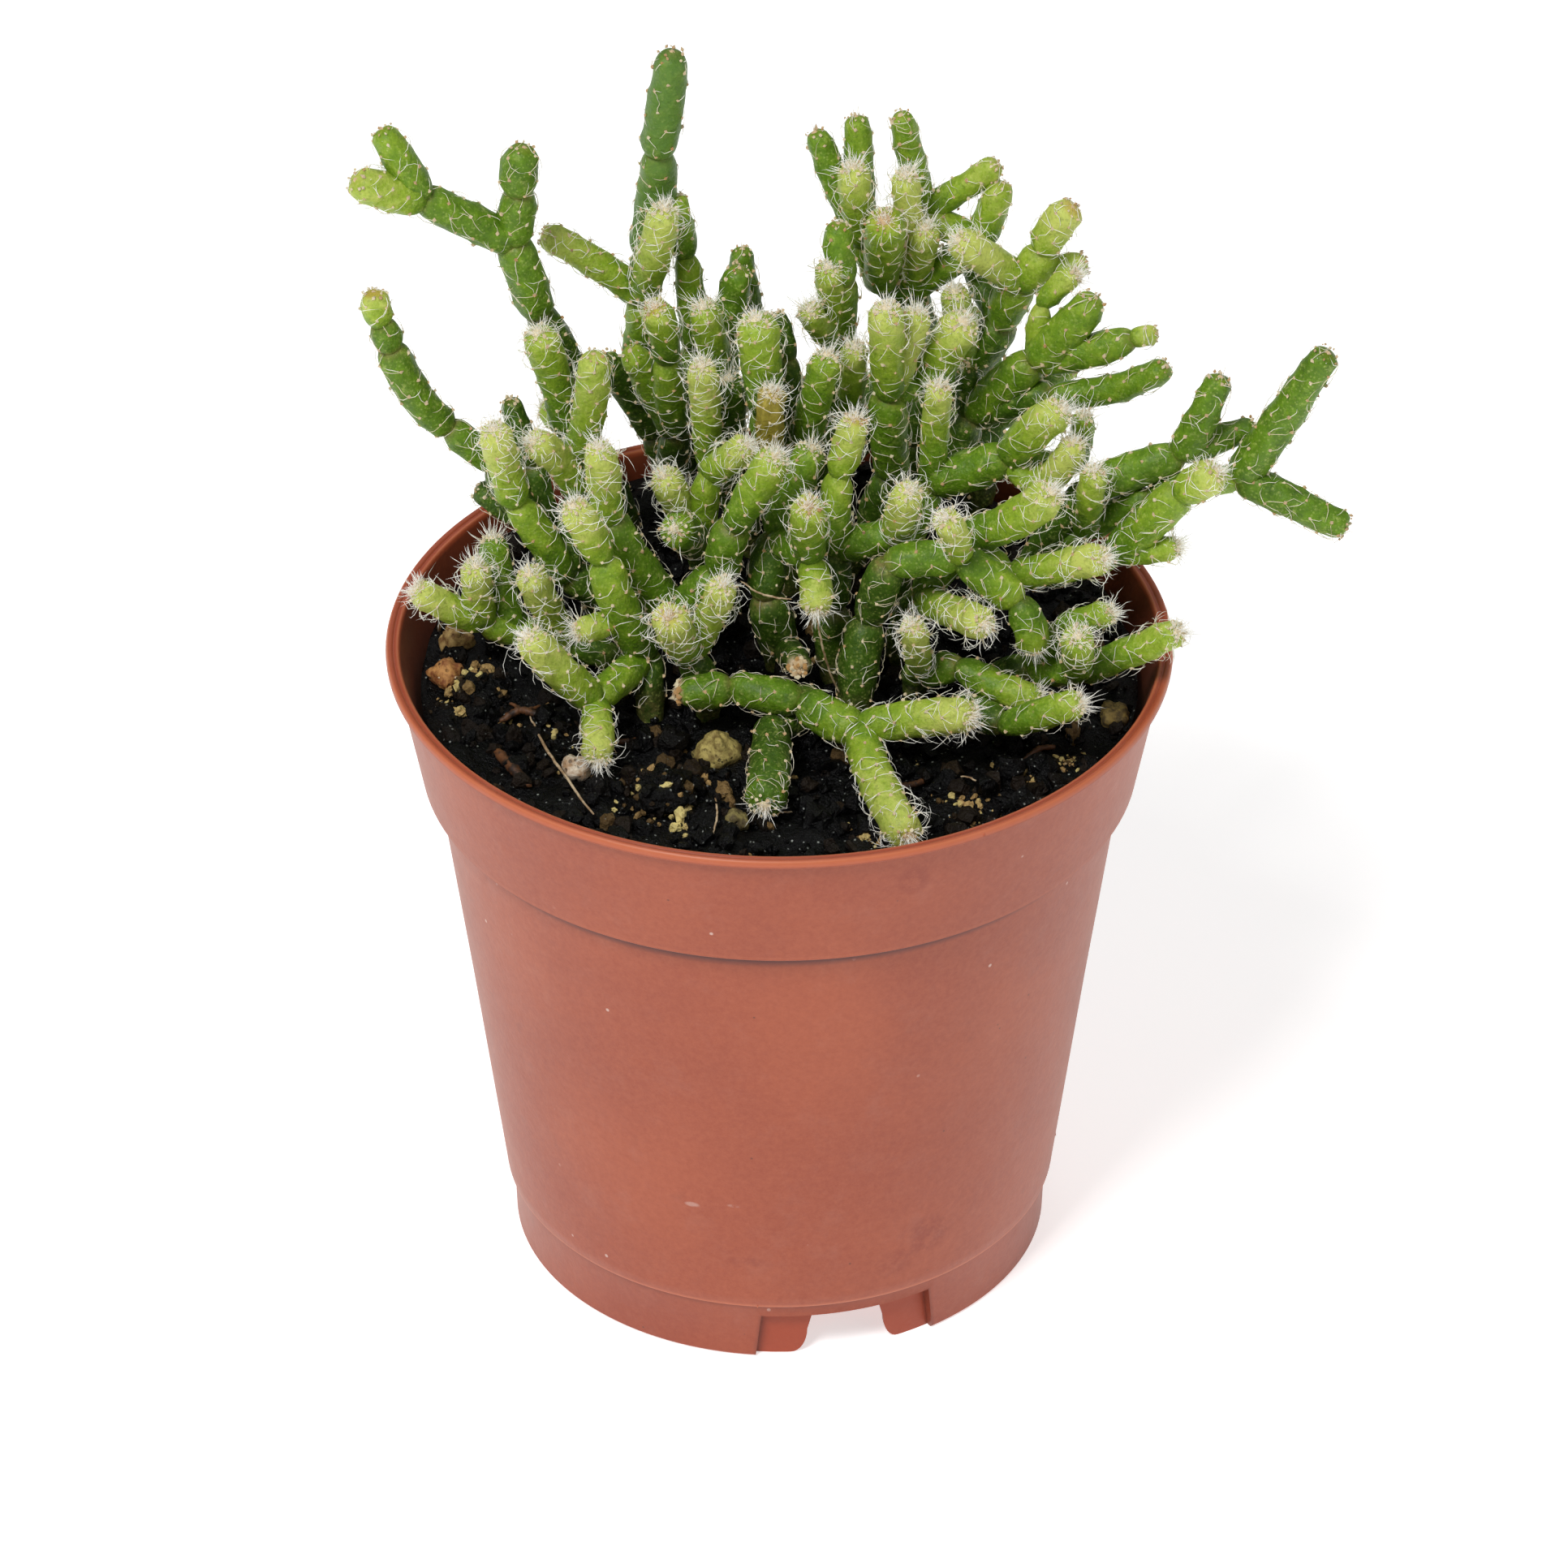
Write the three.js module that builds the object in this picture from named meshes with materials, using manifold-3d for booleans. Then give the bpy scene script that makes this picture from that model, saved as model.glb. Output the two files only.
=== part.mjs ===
/**
 * A bristly mistletoe cactus (Rhipsalis) in a small plastic nursery pot.
 *
 * Millimetres, +Z up. The origin is on the ground, on the pot's axis, and the plant's front faces -Y.
 * The plant is a clump of rooted cuttings. Each cutting is one closed body: a chain of short
 * sausage-shaped stem joints, fused where one grows from another, with its stiffer bristles.
 */
import * as THREE from 'three';
import { mergeVertices } from 'three/addons/utils/BufferGeometryUtils.js';
import Module from 'manifold-3d';

const wasm = await Module();
wasm.setup();

// ---------------------------------------------------------------- driving dimensions

const POT = {
  height: 48.7,
  lipRadius: 27.5,
  lipWidth: 1.4,
  lipThick: 0.6,
  lipEdge: 0.2,
  lipFall: 0.25,
  mouthDepth: 1.3,
  mouthStep: 0.3,
  bandHeight: 9.9,
  bandTopRadius: 26.9,
  bandFootRadius: 25.2,
  wallTopRadius: 24.2,
  wallFootRadius: 19.8,
  stepHeight: 4.9,
  footRadius: 19.14,
  footWidth: 1.5,
  wall: 0.8,
  floorHeight: 3.4,
  floor: 1,
  padRadius: 5,
  padFlare: 0.8,
  channelFlare: 0.6,
  ledge: 0.4,
  draft: 0.2,
  sides: 36,
};
const NOTCH = {
  count: 3, first: 14.8, width: 12.2, depth: 0.75, gap: 4.8, gapDepth: 4, height: 4.5, overcut: 3,
};
const DRAIN = { count: 6, radius: 1.8, ring: 11.5, sides: 8, cut: 3 };
const SOIL = {
  front: 3.9,
  heap: 2.6,
  heapFrom: -6,
  heapTo: 24,
  lump: 0.16,
  clearance: 0.3,
  wallClearance: 0.4,
  edgeInset: 1.9,
  rings: 4,
  sides: 24,
};
const STEM = {
  sides: 6,
  slimSides: 5,
  slim: 1.37,
  plump: 1.08,
  neck: 0.62,
  shoulder: 1.3,
  shoulderShare: 0.2,
  domeStart: 0.8,
  domeEnd: 0.2,
  domeWidth: 0.6,
  socket: 0.7,
  sharpestBend: 60,
  gap: 0.36,
  stand: 1.3,
  rootDepth: 5,
  rootWidth: 0.8,
  holeClearance: 0.32,
};
const GOLDEN_ANGLE = 137.5;
const BRISTLE = {
  length: 1.8, root: 0.3, base: 0.2, seat: 0.93, clearance: 0.35, overSoil: 0.6, fromRim: 1.5, fromGrit: 1,
};
// Where bristles stand: three round a woolly tip, or one on the flank of every second stem joint.
const CROWN = { back: 0.45, out: 0.7, lean: 0.9, count: 3 };
const FLANK = { along: 0.62, out: 1, lean: 0.7 };

// The plant is laid out on a slanting drawing board that faces an eye in front of the pot and above
// it. A place on the board is [across, up, back]: millimetres across and up the board, and how far
// back of the pot's axis the point lies along the eye's line of sight.
const BOARD = { distance: 605, slope: 34.31, eyeAcross: 0.318, eyeBack: -505.4, eyeOverRim: 332.5 };

// ---------------------------------------------------------------- the plant's layout

// Each cutting has lettered joints, the first one at the soil, and the stem joints between them:
// [letters, width], with ' for a growing tip, " for a tip without wool and . for no narrowing
// where two halves of one curved stem joint meet.
const CUTTINGS = {
  cutting_left_arch: {
    joints: {
      a: [-13.0, 11.3, 6.8], b: [-16.6, 17.6, 7.0], c: [-20.2, 22.2, 6.5], d: [-23.4, 24.9, 6.0],
      e: [-25.4, 26.8, 5.6], f: [-27.5, 30.5, 5.0], g: [-28.2, 32.3, 4.8], h: [-28.7, 34.4, 4.5],
      i: [-21.6, 20.6, 8.5], j: [-17.6, 22.3, 8.5], k: [-19.2, 26.9, 9.0],
    },
    stems: [['ab', 2.5], ['bc', 2.4], ['cd', 2.3], ['de.', 2.5], ['ef', 2.5], ['fg', 2.2],
      ['gh"', 2.2], ['bi"', 2.0], ['bj', 2.1], ['jk"', 1.9]],
  },
  cutting_left: {
    joints: {
      a: [-9.8, 9.6, 4.4], b: [-15.4, 14.4, 2.0], c: [-18.8, 19.6, 1.0], d: [-20.3, 24.9, -0.5],
      e: [-14.5, 20.2, 4.0], f: [-15.3, 22.0, 3.5], g: [-17.6, 24.0, 1.5],
    },
    stems: [['ab', 2.6], ['bc', 2.5], ["cd'", 2.5], ['be', 2.2], ['ef.', 2.2], ["fg'", 2.3]],
  },
  cutting_left_low: {
    joints: {
      a: [-12.0, 7.0, 0.0], b: [-15.1, 9.8, 0.5], c: [-18.6, 10.7, 0.6], d: [-21.0, 11.3, 0.2],
      e: [-21.5, 15.3, -1.8], f: [-25.8, 13.6, -1.2], g: [-20.4, 17.3, 1.6], h: [-17.8, 14.8, -2.2],
    },
    stems: [['ab', 2.4], ['bc.', 2.4], ['cd', 2.4], ["de'", 2.3], ["df'", 2.2], ["cg'", 2.2],
      ["bh'", 2.4]],
  },
  cutting_front_left: {
    joints: {
      a: [-9.4, 5.1, -3.6], b: [-9.5, 9.2, -2.6], c: [-12.6, 15.7, -4.0], d: [-14.8, 19.5, -5.2],
      e: [-13.1, 5.9, -7.3], f: [-18.0, 10.4, -8.8], g: [-13.0, 1.5, -12.6], h: [-11.2, 11.7, -3.8],
      i: [-14.6, 10.6, -5.4],
    },
    stems: [['ab', 2.4], ['bh.', 2.7], ['hc', 2.8], ["cd'", 2.4], ['be', 2.4], ["ef'", 2.6],
      ["eg'", 2.3], ["hi'", 1.9]],
  },
  cutting_front_mid: {
    joints: {
      a: [-5.4, 5.2, -3.6], b: [-6.6, 9.0, -4.2], c: [-4.2, 14.0, -7.0], d: [-8.1, 11.8, -8.5],
    },
    stems: [['ab', 2.5], ["bc'", 2.3], ["bd'", 2.7]],
  },
  cutting_left_mid: {
    joints: {
      a: [-6.4, 8.0, 1.6], b: [-7.4, 11.9, 1.2], c: [-12.2, 18.4, 0.5], d: [-12.9, 23.6, -1.0],
      e: [-4.4, 14.7, 0.2], f: [-3.5, 18.0, -0.2], g: [-0.5, 23.0, -2.5],
    },
    stems: [['ab', 2.7], ['bc', 3.0], ["cd'", 2.5], ['be', 2.9], ['ef', 2.9], ["fg'", 2.6]],
  },
  cutting_mid: {
    joints: {
      a: [-4.0, 10.9, 6.3], b: [-6.0, 16.6, 5.5], c: [-8.5, 21.6, 3.5], d: [-7.7, 17.8, 0.5],
      e: [-5.3, 21.7, 4.5], f: [-2.5, 23.7, 2.5],
    },
    stems: [['ab', 2.6], ["bc'", 2.4], ["bd'", 2.6], ['be', 2.2], ["ef'", 2.3]],
  },
  cutting_back_left: {
    joints: {
      a: [-11.0, 16.6, 15.0], b: [-13.8, 22.5, 13.0], c: [-14.9, 28.6, 12.5], d: [-17.2, 33.0, 11.5],
      e: [-18.9, 37.9, 10.5], f: [-25.3, 41.0, 9.5], g: [-28.1, 45.8, 9.5], h: [-30.0, 42.2, 7.5],
      i: [-18.5, 41.4, 10.0], j: [-18.1, 44.5, 9.5],
    },
    stems: [['ab', 2.5], ['bc', 2.5], ['cd', 2.5], ['de', 2.9], ['ef', 2.7], ['fg"', 2.4],
      ['fh"', 2.8], ['ei', 2.7], ['ij"', 2.6]],
  },
  cutting_left_pair: {
    joints: {
      a: [-11.6, 13.3, 10.8], b: [-13.9, 19.6, 9.2], c: [-15.1, 24.6, 9.5], d: [-17.3, 31.6, 7.5],
      e: [-14.4, 23.0, 8.0], f: [-13.3, 30.1, 6.0],
    },
    stems: [['ab', 2.5], ['bc', 2.3], ["cd'", 2.6], ['be', 2.3], ['ef"', 2.5]],
  },
  cutting_tall: {
    joints: {
      a: [-7.6, 19.5, 20.0], b: [-9.0, 24.5, 18.5], c: [-10.3, 30.0, 17.0], d: [-9.9, 34.0, 15.5],
      e: [-9.8, 37.0, 16.0], f: [-8.8, 44.1, 15.0], g: [-7.8, 51.2, 14.0], h: [-16.9, 38.5, 14.5],
      i: [-8.3, 40.3, 12.0], j: [-7.5, 24.6, 14.5], k: [-8.2, 29.6, 11.5], l: [-9.1, 33.4, 9.0],
      m: [-10.8, 30.3, 12.5], n: [-12.5, 29.7, 15.0], o: [-6.4, 25.0, 18.5], p: [-6.3, 30.6, 17.0],
      q: [-6.9, 36.9, 16.0], r: [-7.8, 41.1, 16.0], s: [-9.6, 26.0, 23.0], t: [-10.6, 28.0, 27.0],
      u: [-6.6, 28.2, 26.5],
    },
    stems: [['ab', 2.6], ['bc', 2.5], ['cd', 2.4], ['de', 2.3], ['ef', 2.8], ['fg"', 2.7],
      ['dh"', 2.3], ["di'", 2.5], ['aj', 2.4], ['jk', 2.3], ["kl'", 2.3], ['jm"', 2.4],
      ['bn"', 2.4], ['ao', 2.4], ['op', 2.3], ['pq', 2.1], ['qr"', 2.2],
      ['bs', 2.3], ["st'", 2.3], ['su"', 2.2]],
  },
  cutting_centre_left: {
    joints: {
      a: [-2.6, 15.2, 14.2], b: [-4.3, 21.5, 12.5], c: [-4.5, 27.8, 11.5], d: [-5.7, 33.4, 9.5],
      e: [-5.3, 22.3, 8.5], f: [-5.8, 29.3, 6.0], g: [-4.0, 30.9, 13.5], h: [-3.1, 36.1, 14.0],
      i: [-3.9, 28.4, 8.5],
    },
    stems: [['ab', 2.5], ['bc', 2.3], ["cd'", 2.3], ['be', 2.2], ["ef'", 2.2], ['cg', 2.1],
      ['gh"', 2.3], ["bi'", 2.5]],
  },
  cutting_centre: {
    joints: {
      a: [0.2, 13.0, 10.2], b: [-0.6, 19.5, 9.5], c: [-1.4, 26.0, 9.0], d: [-2.0, 32.6, 7.0],
      e: [-0.9, 22.4, 6.5], f: [-0.8, 27.5, 4.5], g: [0.6, 25.8, 11.5], h: [0.4, 29.7, 12.0],
      i: [-0.5, 33.0, 12.5], j: [1.4, 24.0, 8.5], k: [3.0, 30.1, 6.5],
    },
    stems: [['ab', 2.6], ['bc', 2.6], ["cd'", 3.0], ['be', 2.0], ["ef'", 1.8], ['bg', 2.2],
      ['gh', 1.9], ['hi"', 1.5], ['bj', 2.3], ["jk'", 2.4]],
  },
  cutting_arch_centre: {
    joints: {
      a: [-0.3, 8.2, 1.6], b: [-1.4, 13.0, 1.0], c: [-0.6, 17.3, 2.5], d: [1.9, 15.8, -0.5],
      e: [1.7, 19.5, -5.5], f: [2.3, 11.9, -5.0], g: [2.0, 23.6, 2.0], h: [1.0, 8.1, -4.0],
    },
    stems: [['ab', 3.0], ['bc', 2.8], ['cd', 2.5], ["de'", 2.5], ["df'", 2.4], ["cg'", 2.6],
      ['ah"', 2.1]],
  },
  cutting_bridge: {
    joints: {
      a: [1.6, 4.6, -5.2], b: [1.2, 5.8, -8.0], c: [-3.7, 6.8, -6.5], d: [-7.5, 6.4, -6.0],
      e: [5.3, 3.8, -11.0], f: [13.3, 4.7, -13.5], g: [6.5, 0.1, -16.0], h: [8.8, -3.8, -21.0],
      i: [-0.9, 4.0, -8.5], j: [-1.4, -1.7, -17.0],
    },
    stems: [['ab', 2.4], ['bc', 2.7], ['cd"', 2.6], ['be', 2.9], ["ef'", 2.7], ['eg.', 2.8],
      ["gh'", 2.8], ['ai', 2.4], ["ij'", 3.0]],
  },
  cutting_right_inner: {
    joints: {
      a: [3.4, 7.8, 0.8], b: [3.4, 12.2, 0.5], c: [3.7, 16.3, 0.2], d: [7.9, 17.4, -1.5],
      e: [8.8, 20.5, -4.5], f: [3.8, 21.6, 2.0], g: [5.0, 25.6, 1.0],
    },
    stems: [['ab', 2.7], ['bc', 2.6], ['cd', 2.4], ["de'", 2.4], ['cf', 2.4], ["fg'", 2.3]],
  },
  cutting_right_dark: {
    joints: {
      a: [5.0, 4.9, -4.0], b: [5.8, 11.6, -2.2], c: [7.2, 15.4, -2.0], d: [12.3, 15.8, -3.5],
      e: [16.4, 12.8, -5.0], f: [17.6, 9.3, -6.0], g: [11.2, 18.6, -7.5],
    },
    stems: [['ab', 3.0], ['bc', 2.7], ['cd', 2.5], ['de', 2.6], ["ef'", 2.5], ["dg'", 2.1]],
  },
  cutting_right_mid: {
    joints: {
      a: [8.2, 8.5, 2.0], b: [9.7, 13.0, 0.0], c: [12.6, 17.2, -0.5], d: [18.8, 20.5, -3.0],
      e: [15.7, 14.5, -1.5], f: [22.5, 15.8, -4.0], g: [14.1, 11.1, -8.0],
    },
    stems: [['ab', 2.6], ['bc', 2.6], ["cd'", 2.8], ['ce', 2.3], ["ef'", 2.4], ["bg'", 2.4]],
  },
  cutting_right_low: {
    joints: {
      a: [9.2, 5.9, -2.2], b: [9.4, 7.8, -3.8], c: [8.9, 11.2, -8.0], d: [12.2, 8.3, -5.5],
      e: [18.0, 5.8, -9.5],
    },
    stems: [['ab', 2.3], ["bc'", 2.0], ['bd', 2.3], ["de'", 2.3]],
  },
  cutting_right_front: {
    joints: { a: [11.6, 3.6, -6.0], b: [15.2, 4.0, -9.3], c: [20.9, 5.7, -11.5] },
    stems: [['ab', 2.3], ["bc'", 2.3]],
  },
  cutting_right_edge: {
    joints: {
      a: [14.6, 6.3, -1.8], b: [17.2, 8.0, -3.0], c: [20.5, 7.8, -5.0], d: [27.6, 10.7, -7.0],
      e: [20.5, 10.4, -9.5], f: [19.2, 10.9, -3.0], g: [23.0, 12.0, -4.5],
    },
    stems: [['ab', 2.2], ['bc', 2.2], ["cd'", 2.3], ["ce'", 2.4], ['bf', 2.0], ["fg'", 2.0]],
  },
  cutting_right_arm: {
    joints: {
      a: [13.5, 10.5, 5.6], b: [16.8, 14.4, 5.0], c: [21.2, 20.7, 4.5], d: [27.7, 23.0, 3.5],
      e: [30.5, 28.5, 3.0], f: [33.0, 25.0, 4.5], g: [20.9, 17.6, 4.0], h: [25.6, 20.2, 3.5],
      i: [31.8, 21.4, 2.5], j: [38.0, 30.2, 0.5], k: [39.4, 17.8, 0.0], l: [22.9, 16.0, 1.5],
      m: [27.6, 20.4, -0.5], n: [30.3, 22.0, -1.5], o: [27.6, 16.6, 0.0], p: [21.7, 22.0, 1.5],
    },
    stems: [['ab', 2.4], ['bc', 2.3], ['cd', 2.7], ['de"', 2.3], ['df"', 2.0], ['bg', 2.2],
      ['gh', 2.1], ['hi', 2.2], ['ij"', 2.6], ['ik"', 2.5], ['bl', 2.3], ['lm', 2.8],
      ["mn'", 2.7], ["lo'", 1.9], ["gp'", 2.0]],
  },
  cutting_right_centre: {
    joints: {
      a: [7.4, 11.0, 7.0], b: [8.6, 17.0, 6.5], c: [10.2, 21.0, 6.0], d: [15.8, 22.8, 5.0],
      e: [19.6, 26.2, 3.0], f: [17.4, 21.2, 4.0], g: [20.3, 24.0, 2.5], h: [20.6, 22.2, 6.0],
      i: [21.0, 25.8, 6.5], j: [10.8, 27.9, 5.0],
    },
    stems: [['ab', 2.6], ['bc', 2.6], ['cd', 3.0], ["de'", 2.8], ['df.', 2.2], ["fg'", 2.2],
      ['dh', 1.8], ["hi'", 1.8], ["cj'", 2.1]],
  },
  cutting_right_back: {
    joints: {
      a: [8.0, 16.6, 15.2], b: [10.4, 20.9, 14.5], c: [13.2, 25.6, 13.5], d: [17.5, 29.5, 12.0],
      e: [24.3, 31.1, 10.5], f: [26.1, 31.5, 10.5], g: [18.7, 27.2, 11.5], h: [23.0, 27.6, 10.5],
      i: [26.8, 29.2, 9.5], j: [12.9, 29.2, 15.5], k: [21.8, 34.0, 11.5], l: [18.0, 33.4, 13.0],
      m: [20.5, 35.7, 13.5], n: [13.2, 21.4, 17.5], o: [15.0, 23.0, 20.2],
    },
    stems: [['ab', 2.5], ['bc', 2.6], ['cd', 2.8], ['de', 2.4], ['ef"', 1.6], ['cg', 2.3],
      ['gh.', 2.1], ['hi"', 2.1], ['cj"', 2.0], ['dk"', 2.8], ['dl', 1.7], ["lm'", 1.7],
      ['bn', 2.2], ["no'", 2.2]],
  },
  cutting_right_top: {
    joints: {
      a: [8.6, 18.6, 19.2], b: [8.5, 24.0, 19.5], c: [12.9, 29.0, 18.0], d: [15.3, 32.3, 17.0],
      e: [16.5, 35.0, 16.0], f: [18.1, 37.3, 15.0], g: [20.2, 40.3, 14.0], h: [12.0, 38.0, 13.5],
      i: [21.2, 36.5, 15.0], j: [13.0, 36.8, 18.5], k: [11.9, 34.5, 17.0],
      l: [11.4, 24.8, 22.5], m: [11.2, 26.8, 26.0],
    },
    stems: [['ab', 2.6], ['bc', 2.6], ['cd', 2.9], ['de', 2.8], ['ef', 2.9], ['fg"', 2.5],
      ["eh'", 2.6], ['ei"', 2.2], ['dj"', 2.2], ["ck'", 2.2], ['bl', 2.3],
      ["lm'", 2.3]],
  },
  cutting_top: {
    joints: {
      a: [3.8, 20.0, 21.7], b: [6.6, 25.4, 21.0], c: [10.0, 30.2, 19.5], d: [8.9, 34.5, 18.0],
      e: [9.9, 38.9, 15.5], f: [13.9, 37.9, 18.0], g: [15.3, 42.0, 18.5], h: [6.7, 35.0, 16.0],
      i: [7.0, 39.5, 11.0], j: [5.4, 38.0, 17.0], k: [4.8, 43.2, 15.0], l: [2.1, 45.6, 18.5],
      m: [5.0, 46.7, 19.5], n: [9.7, 39.8, 19.0], o: [8.1, 46.8, 18.5], p: [15.0, 43.3, 19.0],
      q: [8.5, 42.7, 15.5], r: [6.0, 27.2, 25.5], s: [4.2, 28.4, 29.0], t: [8.6, 29.2, 28.5],
    },
    stems: [['ab', 2.6], ['bc', 2.5], ['cd', 2.5], ["de'", 2.2], ['df', 2.5], ['fg"', 2.4],
      ['dh', 2.5], ["hi'", 3.0], ['hj', 2.4], ["jk'", 2.4], ['jl"', 2.1], ['jm"', 2.2],
      ['fn', 2.3], ['no"', 2.1], ['np"', 2.1], ["dq'", 2.1],
      ['br', 2.4], ["rs'", 2.3], ['rt"', 2.2]],
  },
  cutting_centre_back: {
    joints: {
      a: [1.6, 17.2, 16.5], b: [2.6, 23.5, 16.0], c: [3.9, 30.5, 14.5], d: [4.3, 35.0, 15.0],
      e: [3.8, 39.2, 15.5], f: [3.1, 36.2, 11.5], g: [1.7, 33.2, 11.0], h: [4.6, 25.2, 11.0],
      i: [5.0, 30.6, 9.5], j: [-2.1, 32.0, 17.5], k: [-2.9, 37.4, 17.0], l: [0.4, 25.0, 20.8],
      m: [-1.8, 26.6, 25.0], n: [2.2, 27.4, 25.5],
    },
    stems: [['ab', 2.5], ['bc', 2.4], ['cd', 2.3], ['de"', 2.2], ["cf'", 2.3], ["cg'", 2.1],
      ['bh', 2.2], ["hi'", 2.0], ['bj', 2.3], ['jk"', 2.1], ['bl', 2.3], ["lm'", 2.2],
      ['ln"', 2.3]],
  },
  cutting_right_upper: {
    joints: {
      a: [4.4, 13.3, 11.0], b: [6.0, 17.8, 11.2], c: [7.5, 21.6, 10.6], d: [7.3, 27.2, 9.0],
      e: [7.2, 33.4, 6.5], f: [9.4, 33.1, 9.0], g: [9.5, 28.0, 10.5], h: [12.6, 32.4, 9.5],
    },
    stems: [['ab', 2.6], ['bc', 2.6], ['cd', 2.8], ["de'", 2.6], ["df'", 2.2], ['dg', 2.4],
      ["gh'", 3.2]],
  },  cutting_rear_left: {
    joints: {
      a: [-13.6, 18.7, 18.2], b: [-14.5, 24.6, 20.8], c: [-16.7, 26.4, 23.6], d: [-13.1, 27.7, 24.6],
    },
    stems: [['ab', 2.5], ["bc'", 2.3], ['bd"', 2.3]],
  },
  cutting_rear_mid: {
    joints: {
      a: [-3.5, 21.3, 22.8], b: [-3.9, 26.1, 25.2], c: [-6.4, 28.2, 28.0], d: [-1.7, 28.2, 28.4],
    },
    stems: [['ab', 2.5], ["bc'", 2.3], ["bd'", 2.4]],
  },
  cutting_rear_right: {
    joints: {
      a: [13.6, 19.1, 18.8], b: [14.6, 25.3, 21.4], c: [14.3, 30.8, 23.8], d: [16.1, 34.9, 25.2],
      e: [17.9, 27.9, 23.8], f: [20.2, 29.7, 26.4], g: [12.4, 32.9, 27.6],
    },
    stems: [['ab', 2.6], ['bc', 2.4], ["cd'", 2.3], ['be', 2.3], ["ef'", 2.2], ['cg"', 2.2]],
  },
};

// Grit and clods lying in the soil: [across, up] on the board, radius, and how flat they lie.
const GRIT = {
  pumice_left: { at: [-22.9, 9.9], radius: 1.1, flat: 0.8, color: 0xa88a55 },
  pumice_wall: { at: [-23.5, 7.4], radius: 1.1, flat: 0.85, color: 0xa37c48 },
  perlite_front: { at: [-14.5, 0.9], radius: 0.8, flat: 0.9, color: 0xe4ddcf },
  pumice_round: { at: [-4.6, 1.9], radius: 1.4, flat: 0.9, color: 0x9a8a4e },
  pumice_small: { at: [-3.4, -2.7], radius: 0.8, flat: 0.8, color: 0x8a7d48 },
  pumice_right: { at: [23.0, 4.6], radius: 0.9, flat: 0.9, color: 0x8a7a3c },
  clod_front: { at: [-8.6, -0.9], radius: 2.5, flat: 0.6, color: 0x2c211c },
  bark_left: { at: [-21.2, 6.2], radius: 2.0, flat: 0.55, color: 0x3a2a20 },
};

// Grains smaller than fine have the plainest shape; sink is the share of its radius that a grain
// stands over the soil, and dent how uneven it is.
const GRAIN = { fine: 1.2, sink: 0.2, dent: 0.1 };

const COLOR = { pot: 0xb0664f, soil: 0x15110e, stem: 0x5f8f2e };

// ---------------------------------------------------------------- solids

/** Makes a closed three.js geometry into a solid that can be joined and cut. */
function toSolid(geometry) {
  const bare = geometry.clone();
  bare.deleteAttribute('normal');
  bare.deleteAttribute('uv');
  const merged = mergeVertices(bare, 1e-4);
  const corners = [];
  for (let i = 0; i < merged.index.count; i += 3) {
    const [a, b, c] = [0, 1, 2].map((k) => merged.index.getX(i + k));
    if (a !== b && b !== c && c !== a) corners.push(a, b, c);
  }
  return new wasm.Manifold(new wasm.Mesh({
    numProp: 3,
    vertProperties: new Float32Array(merged.attributes.position.array),
    triVerts: new Uint32Array(corners),
  }));
}

/** Makes a solid into a named mesh with its own material. */
function toMesh(name, solid, color, roughness) {
  const { vertProperties, triVerts } = solid.getMesh();
  const geometry = new THREE.BufferGeometry();
  geometry.setAttribute('position', new THREE.BufferAttribute(new Float32Array(vertProperties), 3));
  geometry.setIndex(new THREE.BufferAttribute(new Uint32Array(triVerts), 1));
  geometry.computeVertexNormals();
  const material = new THREE.MeshStandardMaterial({ color, roughness, metalness: 0 });
  const mesh = new THREE.Mesh(geometry, material);
  mesh.name = name;
  return mesh;
}

const joinAll = (solids) => solids.reduce((whole, solid) => whole.add(solid));

/** Turns a closed outline of [radius, height] corners round the Z axis. */
function turned(outline, sides) {
  const lathe = new THREE.LatheGeometry(outline.map(([r, z]) => new THREE.Vector2(r, z)), sides);
  return lathe.rotateX(Math.PI / 2);
}

/** A box that stands across the pot's radius at an angle from the front towards the right. */
function radialBox(degrees, width, inner, outer, bottom, top) {
  const box = new THREE.BoxGeometry(width, outer - inner, top - bottom);
  box.translate(0, -(inner + outer) / 2, (bottom + top) / 2);
  return toSolid(box.rotateZ(THREE.MathUtils.degToRad(degrees)));
}

// ---------------------------------------------------------------- the drawing board

const slope = THREE.MathUtils.degToRad(BOARD.slope);
const sight = new THREE.Vector3(0, Math.cos(slope), -Math.sin(slope));
const boardUp = new THREE.Vector3(0, Math.sin(slope), Math.cos(slope));
const eye = new THREE.Vector3(BOARD.eyeAcross, BOARD.eyeBack, POT.height + BOARD.eyeOverRim);

/** The place in space of a point of the board, on the upright plane y = back. */
function place([across, up, back]) {
  const onBoard = eye.clone().addScaledVector(sight, BOARD.distance).addScaledVector(boardUp, up);
  onBoard.x += across;
  return eye.clone().lerp(onBoard, (back - eye.y) / (onBoard.y - eye.y));
}

/** Height of the soil: heaped towards the back, with a lumpy top. */
function soilHeight(x, y) {
  const heap = SOIL.heap * THREE.MathUtils.smoothstep(y, SOIL.heapFrom, SOIL.heapTo);
  const lumps = Math.sin(0.9 * x + 0.4 * y) + Math.sin(1.3 * y - 0.5 * x + 1);
  return POT.height - SOIL.front + heap + SOIL.lump * lumps;
}

/** Where the line of sight through a point of the board meets the soil, closing in on it in steps. */
function onSoil([across, up], steps = 12) {
  let back = 0;
  let point = place([across, up, back]);
  for (let step = 0; step < steps; step += 1) {
    back += (point.z - soilHeight(point.x, point.y)) / Math.tan(slope);
    point = place([across, up, back]);
  }
  return point;
}

// ---------------------------------------------------------------- stems in space

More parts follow.
